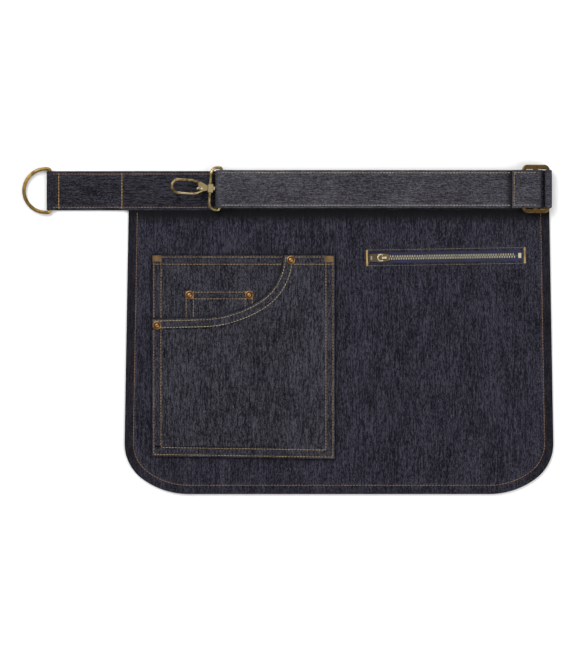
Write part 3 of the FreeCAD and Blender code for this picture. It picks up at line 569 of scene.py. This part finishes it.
# Panel: one ply with a turned hem under its edge
panel = {"hem": panelBox["y0"], "top": panelBox["y1"],
         "flare": 4.8 * mm, "run": 40 * mm, "rise": 28 * mm, "tight": 44 * mm, "wide": 78 * mm,
         "z": panelBox["z1"], "ply": 0.8 * mm, "hemWide": 10 * mm, "dip": 0.3 * mm}
leftX, rightX, hemY = -164 * mm, 266 * mm, panel["hem"]
outline = roundedLine([
    (leftX + panel["flare"], panel["top"]), (leftX, hemY + panel["rise"], panel["tight"]),
    (leftX + panel["run"], hemY, panel["wide"]), (rightX - panel["run"], hemY, panel["wide"]),
    (rightX, hemY + panel["rise"], panel["tight"]), (rightX - panel["flare"], panel["top"])])
fromEdge = distanceTo(outline)
zipSpot = {"x": 158 * mm, "y": 72.875 * mm, "lean": radians(0.95), "half": 76 * mm, "high": 5.5 * mm}


def zipFrame(x, y):
    # a place in the zip's own frame, from one on the panel
    dx, dy = x - zipSpot["x"], y - zipSpot["y"]
    c, s = cos(zipSpot["lean"]), sin(zipSpot["lean"])
    return dx * c + dy * s, -dx * s + dy * c


def zipPlace(x, y):
    # the way back
    c, s = cos(zipSpot["lean"]), sin(zipSpot["lean"])
    return zipSpot["x"] + x * c - y * s, zipSpot["y"] + x * s + y * c


def wavy(x, y, seed):
    broad, small = noise.noise(Vector((x * 15, y * 5, seed))), noise.noise(Vector((x * 38, y * 12, seed + 5)))
    return broad * 0.6 + small * 0.4


def panelTop(x, y):
    d = fromEdge(x, y)
    zx, zy = zipFrame(x, y)
    byZip = max(abs(zx) - 80 * mm, abs(zy) - 9 * mm)
    free = smoothStep(10.5 * mm, 30 * mm, d) * smoothStep(0, 22 * mm, byZip)
    free *= smoothStep(bandBox["y0"] + 2 * mm, bandBox["y0"] - 8 * mm, y) if y > bandBox["y0"] - 8 * mm else 1
    dip = panel["dip"] * smoothStep(9.2 * mm, 11.5 * mm, d) * free
    roll = 0.35 * mm * (1 - smoothStep(0, 0.9 * mm, d))
    puff = 0.1 * mm * bell(d, 5 * mm, 3 * mm)
    ridge = 0.16 * mm * noise.noise(Vector((x * 260, y * 260, 2))) * bell(d, 8 * mm, 4 * mm)
    return panel["z"] - dip - roll + puff + ridge + 0.45 * mm * wavy(x, y, 1) * free


def panelMarks(x, y):
    d = fromEdge(x, y)
    zx, zy = zipFrame(x, y)
    nearZip = max(abs(zx) - 78.7 * mm, abs(zy) - 7.8 * mm)
    worn = 0.5 * bell(d, 9.6 * mm, 1.4 * mm) + 0.55 * bell(d, 0, 0.9 * mm)
    worn += 0.4 * bell(nearZip, 0, 1.5 * mm)
    # the hem's dark edge, painted shade under the waistband and painted shadow beside the pocket
    upHem = 0.25 + 0.75 * smoothStep(hemY + 8 * mm, hemY + 40 * mm, y)
    deep = 0.6 * (1 - smoothStep(8 * mm, 9.4 * mm, d)) * upHem
    low = smoothStep(bandBox["y0"] - 15 * mm, bandBox["y0"] - 3 * mm, y)
    share = (x - frontBox["x0"]) / (frontBox["x1"] - frontBox["x0"])
    outX = max(frontBox["x0"] - x, x - frontBox["x1"], 0)
    outY = max(-126.7 * mm - 2.8 * mm * share - y, y - frontBox["y1"], 0)
    pocketEdgeShadow = 0.85 * exp(-hypot(outX, outY) / (1.3 * mm))
    return {"wear": worn, "deep": max(deep, low, pocketEdgeShadow)}


def panelLanes():
    # rows across the panel: fine near the hem, then even
    rows, step, y = [], 0.05 * mm, hemY
    while y < panel["top"]:
        rows.append(y)
        step = min(2.2 * mm, step + 0.1 * mm)
        y += step
    rows.append(panel["top"])
    ends = []
    count = len(outline)
    half = next(i for i in range(count) if outline[i].x > 0 and outline[i].y < hemY + 1e-6)
    sides = (outline[:half], outline[half:])
    for y in rows:
        places = []
        for side, chain in enumerate(sides):
            best = None
            for a, b in zip(chain, chain[1:]):
                if min(a.y, b.y) - 1e-9 <= y <= max(a.y, b.y) + 1e-9 and abs(a.y - b.y) > 1e-9:
                    x = a.x + (b.x - a.x) * (y - a.y) / (b.y - a.y)
                    best = x if best is None else (min(best, x) if side == 0 else max(best, x))
            if best is None:
                best = chain[-1].x if side == 0 else chain[0].x
            places.append(best)
        ends.append((Vector((places[0], y)), Vector((places[1], y))))
    return ends


lanes = panelLanes()
fineEdge = [0, 0.15 * mm, 0.4 * mm, 0.8 * mm, 1.5 * mm, 3 * mm, 5 * mm, 7 * mm, 8.6 * mm, 9.4 * mm, 10.2 * mm,
            11 * mm, 12 * mm, 14 * mm]
panelCloth = clothSheet("panelCloth", lanes, panelDenim, panelTop,
                        lambda x, y: panelTop(x, y) - panel["ply"], fineEdge, 2.2 * mm, panelMarks)


def inWindow(face, margin=0):
    zx, zy = zipFrame(*face.calc_center_median()[:2])
    return abs(zx) < zipSpot["half"] + margin and abs(zy) < zipSpot["high"] + margin


# The window for the zip: every face inside it goes
work = bmesh.new()
work.from_mesh(panelCloth.data)
cornerSigns = ((-1, -1), (1, -1), (1, 1), (-1, 1))
corners = [zipPlace(sx * zipSpot["half"], sy * zipSpot["high"]) for sx, sy in cornerSigns]
for (x1, y1), (x2, y2) in zip(corners, corners[1:] + corners[:1]):
    side = Vector((y2 - y1, x1 - x2, 0)).normalized()
    near = [f for f in work.faces if inWindow(f, 4 * mm)]
    geometry = list({e for f in near for e in f.edges} | {v for f in near for v in f.verts} | set(near))
    bmesh.ops.bisect_plane(work, geom=geometry, plane_co=(x1, y1, 0), plane_no=side, dist=1e-7)
bmesh.ops.delete(work, geom=[f for f in work.faces if inWindow(f)], context="FACES")
upper, lower = [], []
for edge in [e for e in work.edges if e.is_boundary]:
    edge.smooth = False
    (upper if edge.link_faces[0].normal.z > 0 else lower).append(edge)
bmesh.ops.bridge_loops(work, edges=upper + lower)
work.normal_update()
work.to_mesh(panelCloth.data)
work.free()
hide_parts("main_panel")
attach(panelCloth, "apron")

hemLine = [(p, d) for p, d in resample(outline, 2 * mm) if p.y < bandBox["y0"] - 0.2 * mm]
hemShape = [(0.35, 0.35), (0.15, 0.9), (0.4, 1.6), (1.2, 1.78), (9.4, 1.78), (9.9, 1.3), (9.9, 0.4), (9.4, 0.05),
            (1.2, 0.05)]
hemProfile = [(inset * mm, z * mm) for inset, z in hemShape]
# the turned hem under the panel's edge gets painted shade
hemFold = sweepRound("hemFold", hemLine, hemProfile, panelDenim, "apron", wear=0.1, deep=0.4)
print("panel", len(panelCloth.data.vertices))

# Waistband with the tab folded round the D-ring
band = {"low": 119.275 * mm, "high": 158.475 * mm, "ply": 1.2 * mm, "end": 261 * mm, "z": 3.2 * mm,
        "rampIn": -160.6 * mm, "rampOut": -178 * mm, "tabZ": 1.9 * mm, "seam": -232 * mm,
        "bar": (-238.2 * mm, 3.3 * mm), "bend": 2.7 * mm, "backEnd": -166 * mm}
barX, barZ = band["bar"]
closing = Vector((band["seam"] - barX, band["tabZ"] - barZ))
leave = degrees(atan2(closing.y, closing.x) + acos(band["bend"] / closing.length))
tangent = turnRound(barX, barZ, band["bend"], leave, 270)[0]
bandPath = strapLine((band["end"], band["z"]), (band["rampIn"], band["z"], 3 * mm),
                     (band["rampOut"], band["tabZ"], 1.5 * mm), (band["seam"], band["tabZ"], 3 * mm),
                     (tangent.x, tangent.y, 0.8 * mm))
bandPath += turnRound(barX, barZ, band["bend"], leave, 270)
bandPath += strapLine((barX, barZ - band["bend"]), (band["backEnd"], barZ - band["bend"], 3 * mm), last=True)


def bandMarks(share, along, x):
    edge = min(share, 1 - share)
    worn = 0.6 * bell(edge, 0.075, 0.03) + 0.5 * bell(edge, 0, 0.02)
    worn += 0.4 * bell(x, band["seam"], 1.5 * mm) + 0.3 * bell(x, band["backEnd"], 1.5 * mm)
    shadow = smoothStep(-86 * mm, -66 * mm, x) * 0.7
    return {"wear": min(1, worn), "deep": shadow}


bandSides = (band["low"], band["high"])
bandFront, bandLength = ribbon("bandFront", bandPath, band["ply"], bandSides, bandDenim, bandMarks)
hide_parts("waistband_front")
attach(bandFront, "apron")
backPath = strapLine((backBox["x0"], 0.9 * mm), (backBox["x1"], 0.9 * mm, 4 * mm), last=True)
# the back waistband gets a little painted shade all over, as it lies under the front one
bandBack, backLength = ribbon("bandBack", backPath, 1.7 * mm, (backBox["y0"], backBox["y1"]), bandDenim,
                              lambda share, along, x: {"wear": 0.2, "deep": 0.2})
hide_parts("waistband_back")
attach(bandBack, "apron")

# Belt: one strap from the tail, round the slider's middle bar, along the front, round the hook's ring and back
belt = {"low": 121.375 * mm, "high": 159.375 * mm, "ply": 1.8 * mm, "tailEnd": 223.9 * mm, "tailRest": 8.8 * mm,
        "tailRamp": 224.6 * mm, "tailLift": 232.6 * mm, "tailTop": 11.7 * mm, "turn": (249.8 * mm, 9.3 * mm),
        "turnBend": 2.4 * mm, "frontZ": 6.9 * mm, "rampX": -49.4 * mm, "foldX": -64.4 * mm, "foldTop": 10.4 * mm,
        "fold": (-69.0 * mm, 7.7 * mm), "foldBend": 2.7 * mm, "underZ": 5.0 * mm, "underEnd": 255.7 * mm}
turnX, foldX = belt["turn"][0], belt["fold"][0]
beltPath = strapLine((belt["tailEnd"], belt["tailRest"]), (belt["tailRamp"], belt["tailRest"], 0.5 * mm),
                     (belt["tailLift"], belt["tailTop"], 0.8 * mm), (turnX, belt["tailTop"], 1.5 * mm))
beltPath += turnRound(*belt["turn"], belt["turnBend"], 90, -90)
beltPath += strapLine((turnX, belt["frontZ"]), (belt["rampX"], belt["frontZ"], 2.2 * mm),
                      (belt["foldX"], belt["foldTop"], 1 * mm), (foldX, belt["foldTop"], 1 * mm))
beltPath += turnRound(*belt["fold"], belt["foldBend"], 90, 270)
beltPath += strapLine((foldX, belt["underZ"]), (belt["underEnd"], belt["underZ"], 4 * mm), last=True)


def beltMarks(share, along, x):
    edge = min(share, 1 - share)
    worn = 0.7 * bell(edge, 0.075, 0.03) + 0.7 * bell(edge, 0, 0.02)
    worn += 0.5 * bell(x, belt["tailEnd"], 1.8 * mm) if along < 0.03 else 0
    # shade beside the end of the tail
    beside = smoothStep(216 * mm, 222.5 * mm, x) * (1 - smoothStep(226 * mm, 228 * mm, x))
    return {"wear": min(1, worn), "deep": 0.85 * beside if 0.06 < along < 0.5 else 0}


beltSides = (belt["low"], belt["high"])
beltStrap, beltLength = ribbon("beltStrap", beltPath, belt["ply"], beltSides, beltDenim, beltMarks)
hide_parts("belt_strap")
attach(beltStrap, "belt")

# Short loop that holds the slider's end bar and runs behind the waistband
loop = {"foot": 240.8 * mm, "footZ": 0.9 * mm, "rightX": 262.8 * mm, "bar": (260.1 * mm, 9.3 * mm),
        "bend": 2.7 * mm, "leftEnd": 6.4 * mm, "cornerBend": 1.3 * mm, "ply": 1.7 * mm}
loopX, cornerBend = loop["bar"][0] - loop["bend"], loop["cornerBend"]
loopPath = strapLine((loop["foot"], loop["footZ"]), (loop["rightX"] - cornerBend, loop["footZ"], 2 * mm))
loopPath += turnRound(loop["rightX"] - cornerBend, loop["footZ"] + cornerBend, cornerBend, -90, 0)
loopPath += strapLine((loop["rightX"], loop["footZ"] + cornerBend), (loop["rightX"], loop["bar"][1], 1 * mm))
loopPath += turnRound(*loop["bar"], loop["bend"], 0, 180)
loopPath += strapLine((loopX, loop["bar"][1]), (loopX, loop["leftEnd"], 0.6 * mm), last=True)
sliderLoop, loopLength = ribbon("sliderLoop", loopPath, loop["ply"], beltSides, beltDenim, beltMarks)
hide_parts("slider_loop")
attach(sliderLoop, "apron")
print("straps")

# Patch pocket: backing, coin pocket and the front with its scoop
pocket = {"left": -136 * mm, "right": 46.8 * mm, "top": 74.275 * mm, "lowLeft": -126.7 * mm,
          "lowRight": -129.5 * mm, "scoop": -4 * mm, "scoopY": 10.3 * mm}
scoopCorners = [(pocket["left"], pocket["scoopY"]), (-56 * mm, 12.3 * mm, 110 * mm),
                (-8 * mm, 41.3 * mm, 52 * mm), (pocket["scoop"], pocket["top"])]
scoopLine = roundedLine(scoopCorners, step=1 * mm)


def pocketLow(x):
    share = (x - pocket["left"]) / (pocket["right"] - pocket["left"])
    return pocket["lowLeft"] + (pocket["lowRight"] - pocket["lowLeft"]) * share


def along(line, x):
    # height of a line at x; the line runs to the right
    for a, b in zip(line, line[1:]):
        if a.x <= x <= b.x and b.x > a.x:
            return a.y + (b.y - a.y) * (x - a.x) / (b.x - a.x)
    return line[-1].y if x > line[-1].x else line[0].y


fromScoop = distanceTo(scoopLine)


def openingY(x):
    return along(scoopLine, x) if x <= pocket["scoop"] else pocket["top"]


def pocketEdge(x, y):
    sides = [x - pocket["left"], pocket["right"] - x, y - pocketLow(x)]
    if x > pocket["scoop"]:
        sides.append(pocket["top"] - y)
    return min(sides), fromScoop(x, y)


def frontTop(x, y):
    side, scoopNear = pocketEdge(x, y)
    d = min(side, scoopNear)
    roll = 0.35 * mm * (1 - smoothStep(0, 0.9 * mm, d))
    free = smoothStep(9 * mm, 24 * mm, side) * smoothStep(14 * mm, 26 * mm, scoopNear)
    dip = 0.32 * mm * smoothStep(8.6 * mm, 11 * mm, side) * smoothStep(13 * mm, 15.5 * mm, scoopNear)
    coin = 0.25 * mm * smoothStep(coinBox["x0"] - 1 * mm, coinBox["x0"] + 1 * mm, x) * smoothStep(
        coinBox["x1"] + 1 * mm, coinBox["x1"] - 1 * mm, x) if coinBox["x0"] - mm < x < coinBox["x1"] + mm else 0
    coin *= smoothStep(coinBox["y0"] - 1.5 * mm, coinBox["y0"] + 1 * mm, y)
    pucker = 0.14 * mm * noise.noise(Vector((x * 240, y * 240, 9))) * bell(d, 8 * mm, 4 * mm)
    return frontBox["z1"] - roll - dip + coin + pucker + 0.3 * mm * wavy(x, y, 4) * free


def frontLow(x, y):
    side, scoopNear = pocketEdge(x, y)
    return frontTop(x, y) - (1.5 * mm if min(side, scoopNear * 5) < 8.8 * mm else 0.8 * mm) + 0.05 * mm


def seamMarks(x, y):
    side, scoopNear = pocketEdge(x, y)
    worn = 0.6 * bell(side, 1.9 * mm, 1.0 * mm) + 0.45 * bell(side, 8.8 * mm, 1.3 * mm)
    worn += 0.6 * bell(scoopNear, 2 * mm, 1.2 * mm) + 0.4 * bell(scoopNear, 8.6 * mm, 1.4 * mm)
    worn += 0.7 * bell(min(side, scoopNear), 0, 0.7 * mm)
    return {"wear": min(1, worn), "deep": 0}


left, right, top, scoopX = pocket["left"], pocket["right"], pocket["top"], pocket["scoop"]
xs, x = [], left
while x < scoopX - 0.2 * mm:  # closer together where the opening turns up steeply
    xs.append(x)
    x += 2 * mm if x < scoopX - 12 * mm else max(0.12 * mm, min(1.2 * mm, (scoopX - x) * 0.22))
xs += [scoopX, scoopX + 0.02 * mm]
x = scoopX + 1.5 * mm
while x < right - 1 * mm:
    xs.append(x)
    x += 2 * mm
xs += [right - 0.5 * mm, right - 0.15 * mm, right, left + 0.15 * mm, left + 0.5 * mm, left + 1 * mm]
xs.sort()
frontLanes = [(Vector((x, pocketLow(x))), Vector((x, openingY(x)))) for x in xs]
fineSeam = [0, 0.15 * mm, 0.5 * mm, 1 * mm, 2 * mm, 3.5 * mm, 5.5 * mm, 7.5 * mm, 8.6 * mm, 9.6 * mm, 11 * mm]
pocketFront = clothSheet("pocketFront", frontLanes, pocketDenim, frontTop, frontLow, fineSeam, 2.2 * mm, seamMarks)
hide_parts("pocket_front")
backingLanes = [(Vector((x, pocketLow(x) + 0.3 * mm)), Vector((x, top)))
                for x in [left + 0.2 * mm + i * 2.5 * mm for i in range(73)]]


def backingTop(x, y):
    under = smoothStep(0, 20 * mm, min(x - left, top - y, right - x))
    return backingBox["z1"] - 0.02 * mm + 0.12 * mm * (wavy(x, y, 8) - 0.4) * under


def backingMarks(x, y):
    gap = fromScoop(x, y)
    edge = min(x - left, top - y)
    worn = 0.5 * bell(edge, 0, mm) + 0.5 * bell(edge, 6.5 * mm, 1.6 * mm)
    # painted shadow on the backing along the pocket front's scooped edge
    return {"wear": worn if y > openingY(x) else 0, "deep": 0.9 * exp(-gap / (2.2 * mm))}


pocketBacking = clothSheet("pocketBacking", backingLanes, pocketDenim, backingTop,
                           lambda x, y: backingTop(x, y) - 0.72 * mm, fineSeam, 2.5 * mm, backingMarks)
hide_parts("pocket_backing")


def coinTop(x, y):
    edge = min(x - coinBox["x0"], coinBox["x1"] - x, coinBox["y1"] - y)
    roll = 0.3 * mm * (1 - smoothStep(0, 0.8 * mm, edge))
    return coinBox["z1"] - roll - 0.12 * mm * smoothStep(8.5 * mm, 10.5 * mm, edge)


def coinMarks(x, y):
    edge = min(x - coinBox["x0"], coinBox["x1"] - x)
    top = coinBox["y1"] - y
    gap = fromScoop(x, y)
    worn = 0.6 * bell(min(edge, top), 0, 0.8 * mm) + 0.5 * bell(min(edge, top), 2.4 * mm, mm)
    # painted shadow on the coin pocket along the pocket front's scooped edge
    return {"wear": min(1, worn), "deep": 0.8 * exp(-gap / (2 * mm))}


coinXs = [coinBox["x0"] + (coinBox["x1"] - coinBox["x0"]) * i / 36 for i in range(37)]
coinLanes = [(Vector((x, coinBox["y0"])), Vector((x, coinBox["y1"]))) for x in coinXs]
coinCloth = clothSheet("coinCloth", coinLanes, pocketDenim, coinTop, lambda x, y: coinTop(x, y) - 0.75 * mm,
                       fineSeam, 2 * mm, coinMarks)
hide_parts("coin_pocket")
for piece in (pocketFront, pocketBacking, coinCloth):
    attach(piece, "apron")
print("pocket")

# Zip: tapes, teeth and the pocket bag; the stops, the slider and the pull come from the frame
zipper = {"x0": -79.3 * mm, "x1": 79.3 * mm, "tapeZ": 1.62 * mm, "tapePly": 0.34 * mm, "edge": 0.95 * mm,
          "wide": 13 * mm, "pitch": 2.46 * mm, "first": -71.5 * mm, "count": 57, "low": 1.0 * mm, "top": 2.26 * mm}
# a tooth: narrow head near the chain's middle line, wider foot clamped on the tape
toothShape = [(-0.42, 0.12), (-0.57, 0.5), (-0.57, 1.3), (-0.5, 2.3), (0.5, 2.3), (0.57, 1.3), (0.57, 0.5),
              (0.42, 0.12)]
toothLevels = [(zipper["low"], 0.85), (zipper["low"] + 0.2 * mm, 1), (zipper["top"] - 0.25 * mm, 1),
               (zipper["top"], 0.8)]
for name, side in (("upper", 1), ("lower", -1)):
    tapeLanes = []
    for i in range(12):
        y = side * (zipper["edge"] + (zipper["wide"] - zipper["edge"]) * (i / 11) ** 1.3)
        a, b = zipPlace(zipper["x0"], y), zipPlace(zipper["x1"], y)
        tapeLanes.append((Vector(a), Vector(b)))
    half = zipper["tapePly"] / 2
    # painted shade on each tape next to the teeth
    tape = clothSheet("tape" + name.capitalize(), tapeLanes, navyTape, lambda x, y: zipper["tapeZ"] + half,
                      lambda x, y: zipper["tapeZ"] - half, [0, 0.5 * mm, 1 * mm], 2.5 * mm,
                      lambda x, y: {"deep": 0.9 * exp(-max(0, abs(zipFrame(x, y)[1]) - 2.4 * mm) / (0.7 * mm))})
    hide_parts("zip_tape_" + name)
    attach(tape, "apron")
    verts, faces = [], []
    for k in range(zipper["count"]):
        start = zipper["first"] + zipper["pitch"] * (k + (0.25 if side > 0 else 0.75))
        middle = start + 0.575 * mm
        base = len(verts)
        for z, shrink in toothLevels:
            for dx, dy in toothShape:
                x, y = zipPlace(middle + dx * shrink * mm, side * (1.2 + (dy - 1.2) * shrink) * mm)
                verts.append((x, y, z))
        faces += stackFaces(base, len(toothShape), len(toothLevels))
    teeth = makePiece("teeth" + name.capitalize(), verts, faces, toothBrass, smooth=False)
    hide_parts("zip_teeth_" + name)
    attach(teeth, "apron")

bagLanes = [(Vector(zipPlace(-79 * mm, y * mm)), Vector(zipPlace(79 * mm, y * mm))) for y in range(-131, 13, 4)]
bagCloth = clothSheet("bagCloth", bagLanes, pocketCotton, lambda x, y: 1.3 * mm, lambda x, y: 0.15 * mm,
                      [0, 1 * mm, 2 * mm], 5 * mm)
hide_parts("zip_pocket_bag")
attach(bagCloth, "apron")
print("zip")

# Rivet caps: a flat flange, a groove and a raised middle
rivetSpots = [(-131.2, 4.0, 5.0), (2.8, 69.5, 5.0), (-98.6, 34.5, 4.2), (-38.8, 34.5, 4.2)]
verts, faces = [], []
capShape = [(4.3, 0.02), (4.4, 0.22), (4.25, 0.5), (3.7, 0.72), (2.7, 0.78), (2.3, 0.62), (2.05, 0.66), (1.8, 1.0),
            (1.2, 1.18), (0.5, 1.2)]
capSides = 40
for x, y, z in rivetSpots:
    base = len(verts)
    for radius, up in capShape:
        for j in range(capSides):
            angle = 2 * pi * j / capSides
            verts.append(((x + radius * cos(angle)) * mm, (y + radius * sin(angle)) * mm, (z + up) * mm))
    faces += stackFaces(base, capSides, len(capShape))
# flange and groove darker: patina in the groove and a painted shadow ring round the flange; the raised middle
# keeps its colour
capPatinaAndShade = [0.75, 0.6, 0.45, 0.5, 0.8, 0.9, 0.7, 0.15, 0, 0]
rivetCaps = makePiece("rivetCaps", verts, faces, copperBrass,
                      {"deep": [v for _ in rivetSpots for v in capPatinaAndShade for _ in range(capSides)]})
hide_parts("rivet_caps")
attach(rivetCaps, "apron")


# Stitching
def row(points, height, step=1.2 * mm):
    # a sewn line through points (x, y) or (x, y, radius), laid on the cloth by height(x, y)
    return [Vector((p.x, p.y, height(p.x, p.y))) for p, d in resample(roundedLine(points), step)]


def rowBeside(line, step, shift, height, keep):
    # a sewn line to one side of another, where keep allows it
    places = [p + Vector((-d.y, d.x)) * shift for p, d in resample(line, step)]
    return [Vector((p.x, p.y, height(p.x, p.y))) for p in places if keep(p)]


def justAbove(top):
    return lambda x, y: top(x, y) + 0.02 * mm


onPanel, onFront, onBacking, onCoin = [justAbove(top) for top in (panelTop, frontTop, backingTop, coinTop)]
hemRow = rowBeside(outline, 2 * mm, 8.8 * mm, onPanel, lambda p: p.y < band["low"] - 1 * mm)
sewing("hemStitch", [hemRow], hemThread, "apron")


def onBand(x, y):
    level = slope(x, band["rampOut"], band["rampIn"], band["tabZ"], band["z"]) + band["ply"] / 2
    return level + slope(x, band["seam"], tangent.x, 0, tangent.y - band["tabZ"])


inset = 2.9 * mm
bandRows = [row([(-235 * mm, y), (258 * mm, y)], onBand) for y in (band["low"] + inset, band["high"] - inset)]
sewing("bandStitch", bandRows, bandThread, "apron")
crossRows = [row([(x, band["low"] + 1.5 * mm), (x, band["high"] - 1.5 * mm)], onBand)
             for x in (band["seam"] + 2.6 * mm, -166.2 * mm)]
sewing("tabStitch", crossRows, tabThread, "apron")


def onBelt(x, y):
    return slope(x, belt["rampX"], belt["foldX"], belt["frontZ"], belt["foldTop"]) + belt["ply"] / 2


def onTail(x, y):
    return slope(x, belt["tailRamp"], belt["tailLift"], belt["tailRest"], belt["tailTop"]) + belt["ply"] / 2


inset = 2.8 * mm
beltEdges = (belt["low"] + inset, belt["high"] - inset)
beltRows = [row([(-66 * mm, y), (belt["tailEnd"] - 1.5 * mm, y)], onBelt) for y in beltEdges]
beltRows += [row([(belt["tailEnd"] + 2 * mm, y), (248 * mm, y)], onTail) for y in beltEdges]
sewing("beltStitch", beltRows, tanThread, "belt")
tailRow = row([(belt["tailEnd"] + 1.9 * mm, y) for y in beltEdges], onTail)
sewing("tailStitch", [tailRow], goldThread, "belt")


pocketRows = []
for near in (1.8 * mm, 8.9 * mm):
    lowLeft, lowRight = pocketLow(left) + near, pocketLow(right) + near
    pocketRows.append(row([(left + near, pocket["scoopY"] - 1 * mm), (left + near, lowLeft),
                           (right - near, lowRight), (right - near, top - 0.6 * mm)], onFront))
    pocketRows.append(row([(left + near, top - 0.8 * mm), (left + near, pocket["scoopY"] + 1 * mm)], onBacking))
for x1, x2, down, height in ((left + 1 * mm, scoopX - 1 * mm, 1.8 * mm, onBacking),
                             (left + 1 * mm, scoopX - 2 * mm, 9 * mm, onBacking),
                             (scoopX + 1.5 * mm, right - 1 * mm, 1.8 * mm, onFront),
                             (scoopX + 9.5 * mm, right - 1 * mm, 9 * mm, onFront)):
    pocketRows.append(row([(x1, top - down), (x2, top - down)], height))
scoopRows = [rowBeside(scoopLine, 1 * mm, -down, onFront, lambda p: p.x > left + 1.5 * mm and p.y < top - 1 * mm)
             for down in (1.9 * mm, 8.8 * mm)]
sewing("scoopStitch", scoopRows, paleThread, "apron", thick=0.3 * mm)
sewing("pocketStitch", pocketRows, goldThread, "apron", thick=0.3 * mm)
cx0, cx1, ctop = coinBox["x0"], coinBox["x1"], coinBox["y1"]
coinRows = [row([(cx0 + 0.5 * mm, y), (cx1 - 0.5 * mm, y)], onCoin) for y in (ctop - 1.9 * mm, ctop - 8.6 * mm)]
for x in (cx0 + 1.7 * mm, cx0 + 8.9 * mm, cx1 - 1.7 * mm, cx1 - 8.9 * mm):
    coinRows.append(row([(x, ctop - 0.8 * mm), (x, along(scoopLine, x) + 0.6 * mm)], onCoin))
sewing("coinStitch", coinRows, goldThread, "apron", thick=0.28 * mm)
zipRows = [zipPlace(sx * 78.7 * mm, sy * 7.9 * mm) for sx, sy in cornerSigns]
zipLoop = row(zipRows + zipRows[:1], onPanel)
sewing("zipStitch", [zipLoop], windowThread, "apron", thick=0.3 * mm)


def tackRow(x, y, wide, high, height, lean=0.0, pitch=0.55 * mm):
    # close zigzag between two sides
    places = []
    count = int(high / pitch)
    c, s = cos(lean), sin(lean)
    for i in range(count + 1):
        for side in (-1, 1):
            dx, dy = side * wide / 2, -high / 2 + pitch * i + (pitch / 2 if side > 0 else 0)
            px, py = x + dx * c - dy * s, y + dx * s + dy * c
            places.append(Vector((px, py, height(px, py) + 0.1 * mm)))
    return places


def tacks(name, rows, material, thick=0.27 * mm):
    verts, faces = [], []
    for places in rows:
        for a, b in zip(places, places[1:]):
            run = (b - a).normalized()
            sideways = Vector((-run.y, run.x, 0)).normalized()
            base = len(verts)
            for share, fat in ((0, 0.5), (0.12, 1), (0.5, 1.1), (0.88, 1), (1, 0.5)):
                middle = a.lerp(b, share) + Vector((0, 0, 0.14 * mm * sin(share * pi)))
                for j in range(6):
                    angle = 2 * pi * j / 6
                    verts.append(middle + sideways * cos(angle) * thick * fat
                                 + Vector((0, 0, sin(angle) * thick * fat)))
            faces += stackFaces(base, 6, 5)
    piece = makePiece(name, verts, faces, material)
    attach(piece, "apron")
    return piece


cornerTacks = [tackRow(left + 5 * mm, top - 3.4 * mm, 9.5 * mm, 5.6 * mm, onBacking),
               tackRow(right - 6 * mm, top - 4 * mm, 9.5 * mm, 5.6 * mm, onFront)]
zipTacks = [tackRow(*zipPlace(side * 78.9 * mm, 0), 2.1 * mm, 15.8 * mm, onPanel, zipSpot["lean"], 0.5 * mm)
            for side in (-1, 1)]
tacks("barTacks", cornerTacks, tackThread)
tacks("zipTackBars", zipTacks, endThread, 0.24 * mm)
print("stitches")

# Polished rim of the pull's eye
rim = {"wide": 1.02 * mm, "outer": 3.68 * mm, "ply": 0.16 * mm, "fromPivot": 3.175 * mm, "open": 50,
       "sunk": 0.08 * mm, "round": 0.14 * mm}
pivot = [j for j in frame["record"]["behaviour"]["joints"] if j["name"] == "pull_flip"][0]["pos_m"]
rimX = pivot[0] - rim["fromPivot"] * cos(zipSpot["lean"])
rimY = pivot[1] - rim["fromPivot"] * sin(zipSpot["lean"])
rimShape = [(0, -0.05 * mm), (0, rim["ply"] * 0.7), (rim["round"], rim["ply"]),
            (rim["wide"] - rim["round"], rim["ply"]), (rim["wide"], rim["ply"] * 0.7), (rim["wide"], -0.05 * mm)]
rimPath = []
for i in range(49):
    angle = radians(rim["open"] + (360 - 2 * rim["open"]) * i / 48) + zipSpot["lean"]
    rimPath.append((Vector((rimX + rim["outer"] * cos(angle), rimY + rim["outer"] * sin(angle))),
                    Vector((-sin(angle), cos(angle)))))
rimTop = boxOf("zip_pull")["z1"] - rim["sunk"]
sweepRound("pullRim", rimPath, [(inset, rimTop + up) for inset, up in rimShape], toothBrass, "zip_pull")

# Metal from the frame
metals = {antiqueBrass: ["d_ring"], blackBrass: ["zip_pull"], wornBrass: ["hook_body"],
          paleBrass: ["hook_ring", "hook_gate", "swivel_post"], darkBrass: ["slider_buckle", "zip_slider_body"],
          copperBrass: ["rivet_backs"],
          toothBrass: ["zip_top_stop", "zip_bottom_stop", "zip_slider_crown", "gate_pin"]}
for material, nodes in metals.items():
    for node in nodes:
        shown = [o for o in bpy.data.objects if o.get("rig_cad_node") == node or o.name == node][0]
        shown.data.materials.clear()
        shown.data.materials.append(material)

# Floor
floorMesh = bpy.data.meshes.new("floor")
size = 3.0
floorMesh.from_pydata([(-size, -size, 0), (size, -size, 0), (size, size, 0), (-size, size, 0)], [], [(0, 1, 2, 3)])
floorStuff = Shader("floorStuff")
floorTone = floorStuff.grain(300 * mm)
floorColour = floorStuff.blend(floorTone, (0.93, 0.93, 0.93, 1), (0.96, 0.96, 0.96, 1))
floorMesh.materials.append(floorStuff.set(Base_Color=floorColour, Roughness=0.9))
floor = bpy.data.objects.new("floor", floorMesh)
scene.collection.objects.link(floor)
